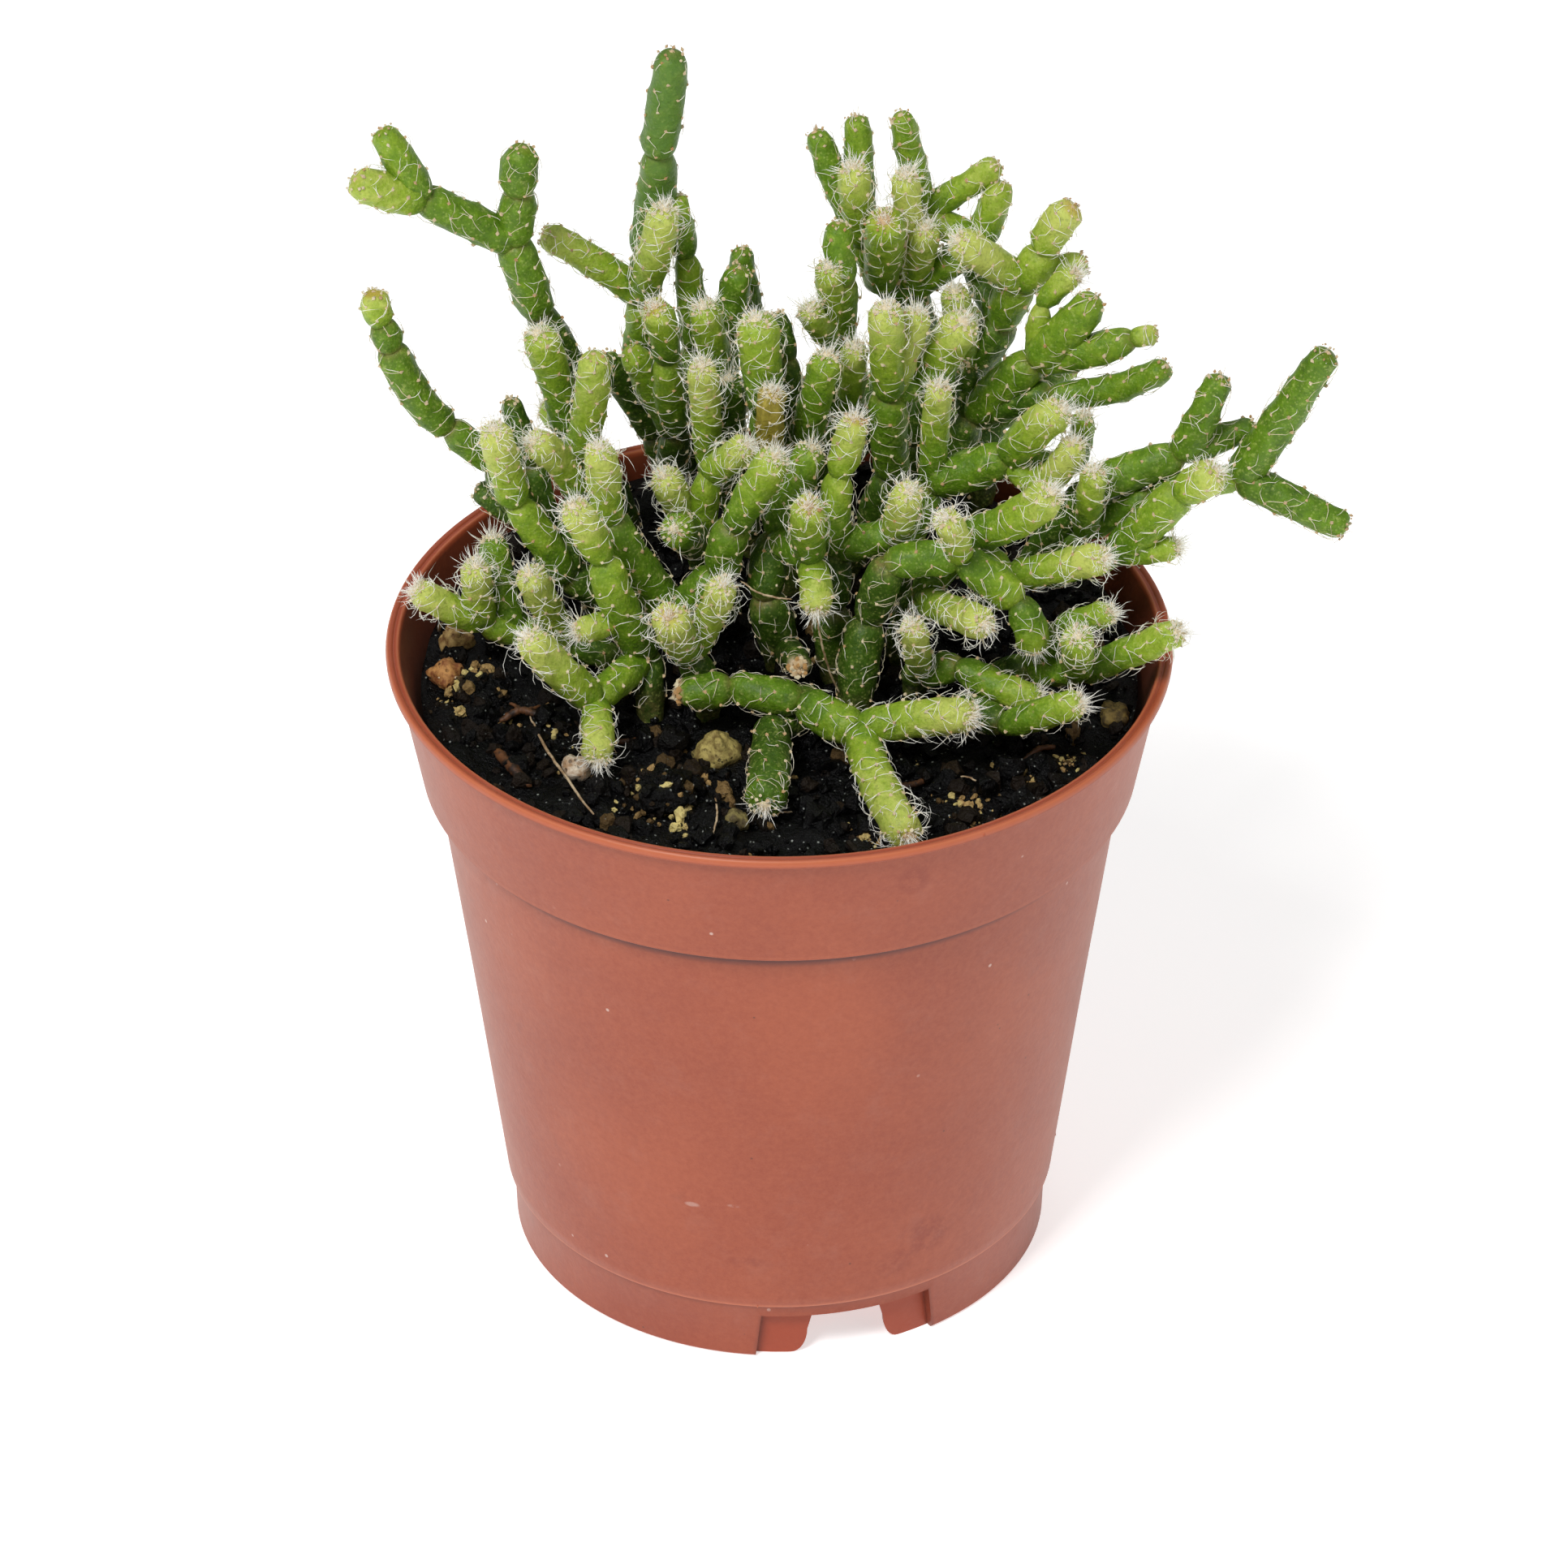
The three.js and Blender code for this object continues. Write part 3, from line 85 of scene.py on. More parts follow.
# Each cutting has lettered joints, each with its place across, up and back on the board, and after
# the semicolon the stem joints between them: letters, width, age. The mark after the letters is '
# for a woolly growing tip, " for a plain tip and . where two halves of one curved stem joint meet.
# A word after the age and its colon names something odd about that stem joint.
CUTTINGS_TABLE = """
left_arch
  a -13 11.3 6.8, b -16.6 17.6 7, c -20.2 22.2 6.5, d -23.4 24.9 6, e -25.4 26.8 5.6,
  f -27.5 30.5 5, g -28.2 32.3 4.8, h -28.7 34.4 4.5, i -21.6 20.6 8.5, j -17.6 22.3 8.5,
  k -19.2 26.9 9;
  ab 2.5 old, bc 2.4 old, cd 2.3 grown, de. 2.5 grown, ef 2.5 grown, fg 2.2 grown,
  gh" 2.2 young:orange, bi" 2 old, bj 2.1 old, jk" 1.9 old

left
  a -9.8 9.6 4.4, b -15.4 14.4 2, c -18.8 19.6 1, d -20.3 24.9 -0.5, e -14.5 20.2 4,
  f -15.3 22 3.5, g -17.6 24 1.5;
  ab 2.6 old, bc 2.5 fresh, cd' 2.5 young, be 2.2 old, ef. 2.2 grown, fg' 2.3 young

left_low
  a -12 7 0, b -15.1 9.8 0.5, c -18.6 10.7 0.6, d -21 11.3 0.2, e -21.5 15.3 -1.8,
  f -25.8 13.6 -1.2, g -20.4 17.3 1.6, h -17.8 14.8 -2.2;
  ab 2.4 old, bc. 2.4 grown, cd 2.4 fresh, de' 2.3 young, df' 2.2 young, cg' 2.2 grown,
  bh' 2.4 young

front_left
  a -9.4 5.1 -3.6, b -9.5 9.2 -2.6, c -12.6 15.7 -4, d -14.8 19.5 -5.2, e -13.1 5.9 -7.3,
  f -18 10.4 -8.8, g -13 1.5 -12.6, h -11.2 11.7 -3.8, i -14.6 10.6 -5.4;
  ab 2.4 old, bh. 2.7 fresh, hc 2.8 fresh, cd' 2.4 young, be 2.4 fresh, ef' 2.6 young,
  eg' 2.3 young, hi' 1.9 young

front_mid
  a -5.4 5.2 -3.6, b -6.6 9 -4.2, c -4.2 14 -7, d -8.1 11.8 -8.5;
  ab 2.5 old, bc' 2.3 young, bd' 2.7 young:orange

left_mid
  a -6.4 8 1.6, b -7.4 11.9 1.2, c -12.2 18.4 0.5, d -12.9 23.6 -1, e -4.4 14.7 0.2,
  f -3.5 18 -0.2, g -0.5 23 -2.5;
  ab 2.7 old, bc 3 grown, cd' 2.5 young, be 2.9 grown, ef 2.9 grown, fg' 2.6 fresh

mid
  a -4 10.9 6.3, b -6 16.6 5.5, c -8.5 21.6 3.5, d -7.7 17.8 0.5, e -5.3 21.7 4.5,
  f -2.5 23.7 2.5;
  ab 2.6 old, bc' 2.4 young, bd' 2.6 grown, be 2.2 fresh, ef' 2.3 young

back_left
  a -11 16.6 15, b -13.8 22.5 13, c -14.9 28.6 12.5, d -17.2 33 11.5, e -18.9 37.9 10.5,
  f -25.3 41 9.5, g -28.1 45.8 9.5, h -30 42.2 7.5, i -18.5 41.4 10, j -18.1 44.5 9.5;
  ab 2.5 old, bc 2.5 old, cd 2.5 old, de 2.9 grown, ef 2.7 grown, fg" 2.4 fresh, fh" 2.8 young,
  ei 2.7 grown, ij" 2.6 grown

left_pair
  a -11.6 13.3 10.8, b -13.9 19.6 9.2, c -15.1 24.6 9.5, d -17.3 31.6 7.5, e -14.4 23 8,
  f -13.3 30.1 6;
  ab 2.5 old, bc 2.3 grown, cd' 2.6 fresh, be 2.3 grown, ef" 2.5 young

tall
  a -7.6 19.5 20, b -9 24.5 18.5, c -10.3 30 17, d -9.9 34 15.5, e -9.8 37 16,
  f -8.8 44.1 15, g -7.8 51.2 14, h -16.9 38.5 14.5, i -8.3 40.3 12, j -7.5 24.6 14.5,
  k -8.2 29.6 11.5, l -9.1 33.4 9, m -10.8 30.3 12.5, n -12.5 29.7 15, o -6.4 25 18.5,
  p -6.3 30.6 17, q -6.9 36.9 16, r -7.8 41.1 16, s -9.6 26 23, t -10.6 28 27,
  u -6.6 28.2 26.5;
  ab 2.6 old, bc 2.5 grown, cd 2.4 fresh, de 2.3 grown, ef 2.8 bluish, fg" 2.7 bluish,
  dh" 2.3 young, di' 2.5 young, aj 2.4 old, jk 2.3 fresh, kl' 2.3 fresh:orange, jm" 2.4 fresh,
  bn" 2.4 old, ao 2.4 old, op 2.3 grown, pq 2.1 fresh, qr" 2.2 fresh, bs 2.3 grown, st' 2.3 fresh,
  su" 2.2 fresh

centre_left
  a -2.6 15.2 14.2, b -4.3 21.5 12.5, c -4.5 27.8 11.5, d -5.7 33.4 9.5, e -5.3 22.3 8.5,
  f -5.8 29.3 6, g -4 30.9 13.5, h -3.1 36.1 14, i -3.9 28.4 8.5;
  ab 2.5 old, bc 2.3 grown, cd' 2.3 fresh, be 2.2 grown, ef' 2.2 young, cg 2.1 grown, gh" 2.3 grown,
  bi' 2.5 old

centre
  a 0.2 13 10.2, b -0.6 19.5 9.5, c -1.4 26 9, d -2 32.6 7, e -0.9 22.4 6.5,
  f -0.8 27.5 4.5, g 0.6 25.8 11.5, h 0.4 29.7 12, i -0.5 33 12.5, j 1.4 24 8.5,
  k 3 30.1 6.5;
  ab 2.6 old, bc 2.6 grown, cd' 3 fresh, be 2 grown, ef' 1.8 young:withered, bg 2.2 old,
  gh 1.9 old, hi" 1.5 old, bj 2.3 grown, jk' 2.4 grown

arch_centre
  a -0.3 8.2 1.6, b -1.4 13 1, c -0.6 17.3 2.5, d 1.9 15.8 -0.5, e 1.7 19.5 -5.5,
  f 2.3 11.9 -5, g 2 23.6 2, h 1 8.1 -4;
  ab 3 old, bc 2.8 old, cd 2.5 grown, de' 2.5 fresh:orange, df' 2.4 young, cg' 2.6 grown,
  ah" 2.1 old:cut

bridge
  a 1.6 4.6 -5.2, b 1.2 5.8 -8, c -3.7 6.8 -6.5, d -7.5 6.4 -6, e 5.3 3.8 -11,
  f 13.3 4.7 -13.5, g 6.5 0.1 -16, h 8.8 -3.8 -21, i -0.9 4 -8.5, j -1.4 -1.7 -17;
  ab 2.4 old, bc 2.7 grown, cd" 2.6 grown:cut, be 2.9 fresh, ef' 2.7 young, eg. 2.8 young,
  gh' 2.8 young:orange, ai 2.4 old, ij' 3 old

right_inner
  a 3.4 7.8 0.8, b 3.4 12.2 0.5, c 3.7 16.3 0.2, d 7.9 17.4 -1.5, e 8.8 20.5 -4.5, f 3.8 21.6 2,
  g 5 25.6 1;
  ab 2.7 old, bc 2.6 old, cd 2.4 grown, de' 2.4 young, cf 2.4 fresh, fg' 2.3 young:orange

right_dark
  a 5 4.9 -4, b 5.8 11.6 -2.2, c 7.2 15.4 -2, d 12.3 15.8 -3.5, e 16.4 12.8 -5,
  f 17.6 9.3 -6, g 11.2 18.6 -7.5;
  ab 3 old, bc 2.7 old, cd 2.5 grown, de 2.6 fresh, ef' 2.5 fresh, dg' 2.1 young

right_mid
  a 8.2 8.5 2, b 9.7 13 0, c 12.6 17.2 -0.5, d 18.8 20.5 -3, e 15.7 14.5 -1.5,
  f 22.5 15.8 -4, g 14.1 11.1 -8;
  ab 2.6 old, bc 2.6 grown, cd' 2.8 fresh, ce 2.3 fresh, ef' 2.4 young, bg' 2.4 young

right_low
  a 9.2 5.9 -2.2, b 9.4 7.8 -3.8, c 8.9 11.2 -8, d 12.2 8.3 -5.5, e 18 5.8 -9.5;
  ab 2.3 old, bc' 2 young, bd 2.3 grown, de' 2.3 fresh

right_front
  a 11.6 3.6 -6, b 15.2 4 -9.3, c 20.9 5.7 -11.5;
  ab 2.3 old, bc' 2.3 fresh

right_edge
  a 14.6 6.3 -1.8, b 17.2 8 -3, c 20.5 7.8 -5, d 27.6 10.7 -7, e 20.5 10.4 -9.5,
  f 19.2 10.9 -3, g 23 12 -4.5;
  ab 2.2 old, bc 2.2 grown, cd' 2.3 fresh, ce' 2.4 fresh, bf 2 grown, fg' 2 fresh

right_arm
  a 13.5 10.5 5.6, b 16.8 14.4 5, c 21.2 20.7 4.5, d 27.7 23 3.5, e 30.5 28.5 3,
  f 33 25 4.5, g 20.9 17.6 4, h 25.6 20.2 3.5, i 31.8 21.4 2.5, j 38 30.2 0.5,
  k 39.4 17.8 0, l 22.9 16 1.5, m 27.6 20.4 -0.5, n 30.3 22 -1.5, o 27.6 16.6 0,
  p 21.7 22 1.5;
  ab 2.4 old, bc 2.3 old, cd 2.7 grown, de" 2.3 grown, df" 2 grown, bg 2.2 grown, gh 2.1 grown,
  hi 2.2 fresh, ij" 2.6 grown, ik" 2.5 grown, bl 2.3 grown, lm 2.8 fresh, mn' 2.7 young,
  lo' 1.9 fresh, gp' 2 fresh

right_centre
  a 7.4 11 7, b 8.6 17 6.5, c 10.2 21 6, d 15.8 22.8 5, e 19.6 26.2 3,
  f 17.4 21.2 4, g 20.3 24 2.5, h 20.6 22.2 6, i 21 25.8 6.5, j 10.8 27.9 5;
  ab 2.6 old, bc 2.6 grown, cd 3 grown, de' 2.8 fresh, df. 2.2 fresh, fg' 2.2 young, dh 1.8 grown,
  hi' 1.8 grown, cj' 2.1 fresh

right_back
  a 8 16.6 15.2, b 10.4 20.9 14.5, c 13.2 25.6 13.5, d 17.5 29.5 12, e 24.3 31.1 10.5,
  f 26.1 31.5 10.5, g 18.7 27.2 11.5, h 23 27.6 10.5, i 26.8 29.2 9.5, j 12.9 29.2 15.5,
  k 21.8 34 11.5, l 18 33.4 13, m 20.5 35.7 13.5, n 13.2 21.4 17.5, o 15 23 20.2;
  ab 2.5 old, bc 2.6 old, cd 2.8 grown, de 2.4 grown, ef" 1.6 young, cg 2.3 old, gh. 2.1 grown,
  hi" 2.1 grown, cj" 2 old, dk" 2.8 grown, dl 1.7 fresh, lm' 1.7 fresh, bn 2.2 old, no' 2.2 fresh

right_top
  a 8.6 18.6 19.2, b 8.5 24 19.5, c 12.9 29 18, d 15.3 32.3 17, e 16.5 35 16,
  f 18.1 37.3 15, g 20.2 40.3 14, h 12 38 13.5, i 21.2 36.5 15, j 13 36.8 18.5,
  k 11.9 34.5 17, l 11.4 24.8 22.5, m 11.2 26.8 26;
  ab 2.6 old, bc 2.6 old, cd 2.9 old, de 2.8 grown, ef 2.9 fresh, fg" 2.5 young:orange,
  eh' 2.6 young, ei" 2.2 fresh, dj" 2.2 old, ck' 2.2 fresh, bl 2.3 old, lm' 2.3 fresh

top
  a 3.8 20 21.7, b 6.6 25.4 21, c 10 30.2 19.5, d 8.9 34.5 18, e 9.9 38.9 15.5,
  f 13.9 37.9 18, g 15.3 42 18.5, h 6.7 35 16, i 7 39.5 11, j 5.4 38 17,
  k 4.8 43.2 15, l 2.1 45.6 18.5, m 5 46.7 19.5, n 9.7 39.8 19, o 8.1 46.8 18.5,
  p 15 43.3 19, q 8.5 42.7 15.5, r 6 27.2 25.5, s 4.2 28.4 29, t 8.6 29.2 28.5;
  ab 2.6 old, bc 2.5 old, cd 2.5 old, de' 2.2 fresh, df 2.5 grown, fg" 2.4 fresh, dh 2.5 old,
  hi' 3 grown:orange, hj 2.4 grown, jk' 2.4 fresh, jl" 2.1 grown, jm" 2.2 grown, fn 2.3 fresh,
  no" 2.1 grown, np" 2.1 fresh, dq' 2.1 young, br 2.4 old, rs' 2.3 fresh, rt" 2.2 fresh

centre_back
  a 1.6 17.2 16.5, b 2.6 23.5 16, c 3.9 30.5 14.5, d 4.3 35 15, e 3.8 39.2 15.5,
  f 3.1 36.2 11.5, g 1.7 33.2 11, h 4.6 25.2 11, i 5 30.6 9.5, j -2.1 32 17.5,
  k -2.9 37.4 17, l 0.4 25 20.8, m -1.8 26.6 25, n 2.2 27.4 25.5;
  ab 2.5 old, bc 2.4 old, cd 2.3 grown, de" 2.2 grown, cf' 2.3 fresh, cg' 2.1 fresh, bh 2.2 grown,
  hi' 2 fresh, bj 2.3 old, jk" 2.1 grown, bl 2.3 old, lm' 2.2 fresh, ln" 2.3 fresh

right_upper
  a 4.4 13.3 11, b 6 17.8 11.2, c 7.5 21.6 10.6, d 7.3 27.2 9, e 7.2 33.4 6.5, f 9.4 33.1 9,
  g 9.5 28 10.5, h 12.6 32.4 9.5;
  ab 2.6 old, bc 2.6 old, cd 2.8 grown, de' 2.6 fresh, df' 2.2 young, dg 2.4 grown, gh' 3.2 fresh

rear_left
  a -13.6 18.7 18.2, b -14.5 24.6 20.8, c -16.7 26.4 23.6, d -13.1 27.7 24.6;
  ab 2.5 old, bc' 2.3 fresh, bd" 2.3 grown

rear_mid
  a -3.5 21.3 22.8, b -3.9 26.1 25.2, c -6.4 28.2 28, d -1.7 28.2 28.4;
  ab 2.5 old, bc' 2.3 fresh, bd' 2.4 fresh

rear_right
  a 13.6 19.1 18.8, b 14.6 25.3 21.4, c 14.3 30.8 23.8, d 16.1 34.9 25.2, e 17.9 27.9 23.8,
  f 20.2 29.7 26.4, g 12.4 32.9 27.6;
  ab 2.6 old, bc 2.4 grown, cd' 2.3 fresh, be 2.3 grown, ef' 2.2 fresh, cg" 2.2 fresh
"""
# Grit and clods lying in the soil: across and up on the board, radius, and how flat they lie.
GRIT: dict[str, tuple[tuple[float, float], float, float]] = {
    "pumice_left": ((-22.9, 9.9), 1.1, 0.8),
    "pumice_wall": ((-23.5, 7.4), 1.1, 0.85),
    "perlite_front": ((-14.5, 0.9), 0.8, 0.9),
    "pumice_round": ((-4.6, 1.9), 1.4, 0.9),
    "pumice_small": ((-3.4, -2.7), 0.8, 0.8),
    "pumice_right": ((23.0, 4.6), 0.9, 0.9),
    "clod_front": ((-8.6, -0.9), 2.5, 0.6),
    "bark_left": ((-21.2, 6.2), 2.0, 0.55),
}


def read_cuttings(table: str) -> dict[str, Layout]:
    """Read the table of cuttings.

    Args:
        table: A block for each cutting, with its name, its joints and its stem joints.

    Returns:
        The joints and the stem joints of each cutting's node.
    """
    cuttings = {}
    for block in table.strip().split("\n\n"):
        name, _, parts = block.partition("\n")
        joints, stems = ([item.split() for item in part.split(",")] for part in parts.split(";"))
        cuttings[f"cutting_{name}"] = (
            {letter: [float(value) for value in place] for letter, *place in joints},
            [(letters, float(width), look) for letters, width, look in stems])
    return cuttings


CUTTINGS = read_cuttings(CUTTINGS_TABLE)


# ------ shader maths

@dataclass(frozen=True)
class Signal:
    """A number that varies over a surface, written as an expression that adds its Math nodes."""

    bench: "Bench"
    socket: NodeSocket

    def maths(self, operation: str, *values: "Signal | float") -> "Signal":
        """A Math node's result for this signal and other signals or plain numbers."""
        operands = dict(enumerate([self, *values]))
        return self.bench.node("ShaderNodeMath", {"operation": operation}, operands).signal()

    def __add__(self, other: "Signal | float") -> "Signal":
        """self + other."""
        return self.maths("ADD", other)

    __radd__ = __add__

    def __sub__(self, other: "Signal | float") -> "Signal":
        """self - other."""
        return self.maths("SUBTRACT", other)

    def __rsub__(self, other: float) -> "Signal":
        """other - self."""
        settings = {"operation": "SUBTRACT"}
        return self.bench.node("ShaderNodeMath", settings, {0: other, 1: self}).signal()

    def __mul__(self, other: "Signal | float") -> "Signal":
        """self * other."""
        return self.maths("MULTIPLY", other)

    __rmul__ = __mul__

    def __pow__(self, other: float) -> "Signal":
        """self ** other."""
        return self.maths("POWER", other)

    def step(self, low: float, high: float) -> "Signal":
        """A smooth step from 0 at low to 1 at high."""
        settings = {"interpolation_type": "SMOOTHSTEP"}
        return self.bench.node("ShaderNodeMapRange", settings, {0: self, 1: low, 2: high}).signal()

    def ridge(self, place: float, width: float) -> "Signal":
        """1 at a value, falling to 0 a width away from it."""
        return (1 - (self - place).maths("ABSOLUTE") * (1 / width)).clamped()

    def ridges(self, rows: Ridges) -> "Signal":
        """The sum of ridges, each with its place, its width and its height."""
        return sum(self.ridge(place, width) * height for place, width, height in rows)

    def clamped(self) -> "Signal":
        """The signal held between 0 and 1."""
        return self.maths("MAXIMUM", 0.0).maths("MINIMUM", 1.0)


@dataclass(frozen=True)
class Placed:
    """A node on the bench."""

    bench: "Bench"
    raw: Node

    def signal(self, output: int | str = 0) -> Signal:
        """One output as a signal."""
        return Signal(self.bench, self.raw.outputs[output])


class Bench:
    """A material whose nodes are being laid out."""

    def __init__(self, name: str, **constants: object) -> None:
        """Start a material with a principled shader.

        Args:
            name: The material's name.
            constants: Values for the shader's own sockets, with _ for each space.
        """
        self.material = bpy.data.materials.new(name)
        self.material.use_nodes = True
        self.tree = self.material.node_tree
        self.shader = self.tree.nodes["Principled BSDF"]
        for key, value in constants.items():
            socket = key.replace("_", " ").title().replace("Ior", "IOR")
            self.shader.inputs[socket].default_value = value

    def node(self, kind: str, settings: dict[str, object],
             inputs: dict[int | str, object]) -> Placed:
        """Add a node.

        Args:
            kind: The node's type.
            settings: Properties to set first; "stops" fills a colour ramp.
            inputs: Values, signals or sockets for its inputs.

        Returns:
            The placed node.
        """
        raw = self.tree.nodes.new(kind)
        for key, value in settings.items():
            if key == "stops":
                self.fill_ramp(raw.color_ramp, value)
            else:
                setattr(raw, key, value)
        for key, value in inputs.items():
            self.feed(raw.inputs[key], value)
        return Placed(self, raw)

    @staticmethod
    def fill_ramp(ramp: ColorRamp, stops: list[tuple[float, Colour]]) -> None:
        """Give a colour ramp its stops.

        Args:
            ramp: The ramp of a new node.
            stops: Pairs of a position and a colour.
        """
        while len(ramp.elements) < len(stops):
            ramp.elements.new(1.0)
        for element, (position, colour) in zip(ramp.elements, stops):
            element.position = position
            element.color = (*colour, 1.0)

    def feed(self, socket: NodeSocket, value: object) -> None:
        """Link or set one input socket.

        Args:
            socket: The socket.
            value: A signal, another node's socket, a colour or a number.
        """
        if isinstance(value, Signal):
            value = value.socket
        if isinstance(value, NodeSocket):
            self.tree.links.new(value, socket)
        elif isinstance(value, tuple) and len(value) == 3 and socket.type == "RGBA":
            socket.default_value = (*value, 1.0)
        else:
            socket.default_value = value

    def coordinates(self) -> NodeSocket:
        """The piece's own coordinates, in metres."""
        return self.node("ShaderNodeTexCoord", {}, {}).raw.outputs["Object"]

    def attribute(self, name: str) -> Signal:
        """A number kept on the mesh's points."""
        return self.node("ShaderNodeAttribute", {"attribute_name": name}, {}).signal("Fac")

    def noise(self, grain: float, detail: float = 2.0, roughness: float = 0.5,
              seed: float = 0.0) -> Signal:
        """Cloudy noise.

        Args:
            grain: The size of one cloud in millimetres.
            detail: How many finer layers it has.
            roughness: How strong the finer layers are.
            seed: Where in the noise the piece lies.

        Returns:
            The noise, about 0.5.
        """
        inputs = {"Vector": self.coordinates(), "W": seed, "Scale": 1 / (grain * MM),
                  "Detail": detail, "Roughness": roughness}
        return self.node("ShaderNodeTexNoise", {"noise_dimensions": "4D"}, inputs).signal("Fac")

    def specks(self, spacing: float, size: float) -> Signal:
        """Small round spots.

        Args:
            spacing: The distance between spots in millimetres.
            size: Their size as a share of the spacing.

        Returns:
            1 in the middle of a spot and 0 away from the spots.
        """
        inputs = {"Vector": self.coordinates(), "Scale": 1 / (spacing * MM)}
        away = self.node("ShaderNodeTexVoronoi", {}, inputs).signal("Distance")
        return 1 - away.step(size * 0.5, size)

    def mix(self, factor: Signal | float, first: object, second: object) -> object:
        """Two colours or outputs of other mixes, the second showing as much as the factor."""
        inputs = {0: factor, 6: first, 7: second}
        return self.node("ShaderNodeMix", {"data_type": "RGBA"}, inputs).raw.outputs[2]

    def ramp(self, factor: Signal, stops: list[tuple[float, Colour]]) -> NodeSocket:
        """The colour that a signal has on a ramp of stops."""
        return self.node("ShaderNodeValToRGB", {"stops": stops}, {0: factor}).raw.outputs[0]

    def bump(self, height: Signal, depth: float) -> None:
        """Feed the shader's normal from a height.

        Args:
            height: The height, 0 to 1.
            depth: What a height of 1 is in millimetres.
        """
        inputs = {"Height": height, "Distance": depth * MM, "Strength": 1.0}
        normal = self.node("ShaderNodeBump", {}, inputs).raw.outputs[0]
        self.feed(self.shader.inputs["Normal"], normal)

    def finish(self, **varying: object) -> Material:
        """Feed what varies over the surface and return the material.

        Args:
            varying: Signals or colours for base_color or roughness.

        Returns:
            The finished material.
        """
        for key, value in varying.items():
            self.feed(self.shader.inputs[key.replace("_", " ").title()], value)
        return self.material


# ------ finishes

@dataclass(frozen=True)
class PotPlastic:
    """Terracotta-coloured moulded plastic, satin, with faint scuffs and dust, painted highlights
    and painted shade.
    """

    base: Colour = srgb(150, 67, 41)
    warm: Colour = srgb(161, 76, 46)
    # The colour of the painted highlights on the lip's crests and the ledges' edges, and of the
    # light grit in the plastic.
    rim: Colour = srgb(212, 122, 82)
    lip: Colour = srgb(176, 80, 48)
    # The colour of the painted shade on the inner wall.
    inner_shade: Colour = srgb(46, 12, 8)
    # The colour of the painted shade in the groove, under the ledges and round the flaps, and of
    # the random smudges.
    shade: Colour = srgb(92, 44, 38)
    dust: Colour = srgb(214, 184, 172)
    soot: Colour = srgb(70, 44, 36)
    # The colour of the painted shade on the foot below the ledge, of the reddish smudges on the
    # wall and of the painted shadow on the band.
    red: Colour = srgb(134, 50, 28)
    # The colour of the painted shade on the recessed flaps.
    flap: Colour = srgb(162, 64, 32)
    top: Range = (48.15, 48.35)
    # Painted highlights lie along the crests and the ledges, painted shade in the groove and the
    # shadows: each row a place, a width and a strength.
    crests: Ridges = ((27.4, 0.16, 1.0), (26.66, 0.12, 0.8))
    groove: Ridges = ((26.94, 0.14, 0.25),)
    ledges: Ridges = ((39.1, 0.2, 0.1), (5.0, 0.24, 0.6))
    shadows: Ridges = ((38.1, 0.55, 1.0), (4.62, 0.3, 0.3))
    # The heights over which the painted shade on the foot fades out upwards.
    foot: Range = (4.4, 4.7)
    niche: Range = (18.78, 18.95)
    flap_turn: float = 19.9
    flap_lean: float = 0.36
    # Marks on the wall: angle, height, angular width, height range and strength, lighter where the
    # strength is below 0; the last row is a painted shadow under a drooping stem tip.
    smears_and_shadow: tuple[tuple[float, float, float, float, float], ...] = (
        (30.5, 9.8, 8.0, 2.2, 0.6), (24.0, 7.8, 5.0, 1.6, 0.45), (-6.6, 9.3, 5.0, 0.6, 0.5),
        (-17.0, 14.3, 1.8, 0.28, -0.4), (-8.7, 14.7, 1.6, 0.2, -0.3), (20.0, 45.4, 3.4, 1.6, 0.6),
    )

    def material(self) -> Material:
        """Lay out the plastic."""
        bench = Bench("pot_plastic", ior=1.46, coat_weight=0.1, coat_roughness=0.28,
                      coat_tint=(1.0, 0.93, 0.86, 1.0), sheen_weight=0.05, sheen_roughness=0.35,
                      sheen_tint=(1.0, 0.82, 0.66, 1.0))
        drift = bench.noise(14.0, 2.0)
        colour = bench.mix(drift.step(0.35, 0.7), self.base, self.warm)
        grit = bench.noise(0.5, 3.0, 0.8, 17.0) - 0.5
        colour = bench.mix((0.08 + grit * 0.5).clamped(), colour, self.rim)
        smudge = bench.noise(2.4, 3.0, 0.6, 23.0).step(0.62, 0.8)
        colour = bench.mix(smudge * 0.22, colour, self.shade)
        split = bench.node("ShaderNodeSeparateXYZ", {}, {0: bench.coordinates()})
        x, y, level = (split.signal(axis) * (1 / MM) for axis in "XYZ")
        away = (x * x + y * y) ** 0.5
        colour = self.edges(bench, colour, level, away)
        turn = x.maths("ARCTAN2", y * -1) * (180 / math.pi)
        colour = self.flaps(bench, colour, turn, level, away)
        # Smudges, scuffs and a painted shadow on the band.
        colour = self.smear(bench, colour, turn, level)
        # Painted shade on the inner wall, where the light hardly reaches.
        colour = bench.mix(bench.attribute("inside") * 0.9, colour, self.inner_shade)
        spots = bench.specks(1.9, 0.06) * bench.noise(4.0, 1.0, 0.5, 12.0).step(0.5, 0.58)
        colour = bench.mix(spots * 0.6, colour, self.soot)
        haze = bench.noise(3.0, 5.0, 0.7, 4.0).step(0.5, 0.75) * 0.04
        colour = bench.mix(haze, colour, self.dust)
        fleck = bench.specks(2.6, 0.07) * bench.noise(5.0, 1.0, 0.5, 2.0).step(0.5, 0.6)
        colour = bench.mix(fleck * 0.75, colour, self.dust)
        rough = 0.4 + bench.noise(1.2, 4.0, 0.6, 7.0) * 0.16
        fine = bench.noise(0.35, 3.0, 0.6, 1.0)
        bench.bump(fine + fleck * 0.5, 0.02)
        return bench.finish(base_color=colour, roughness=rough)

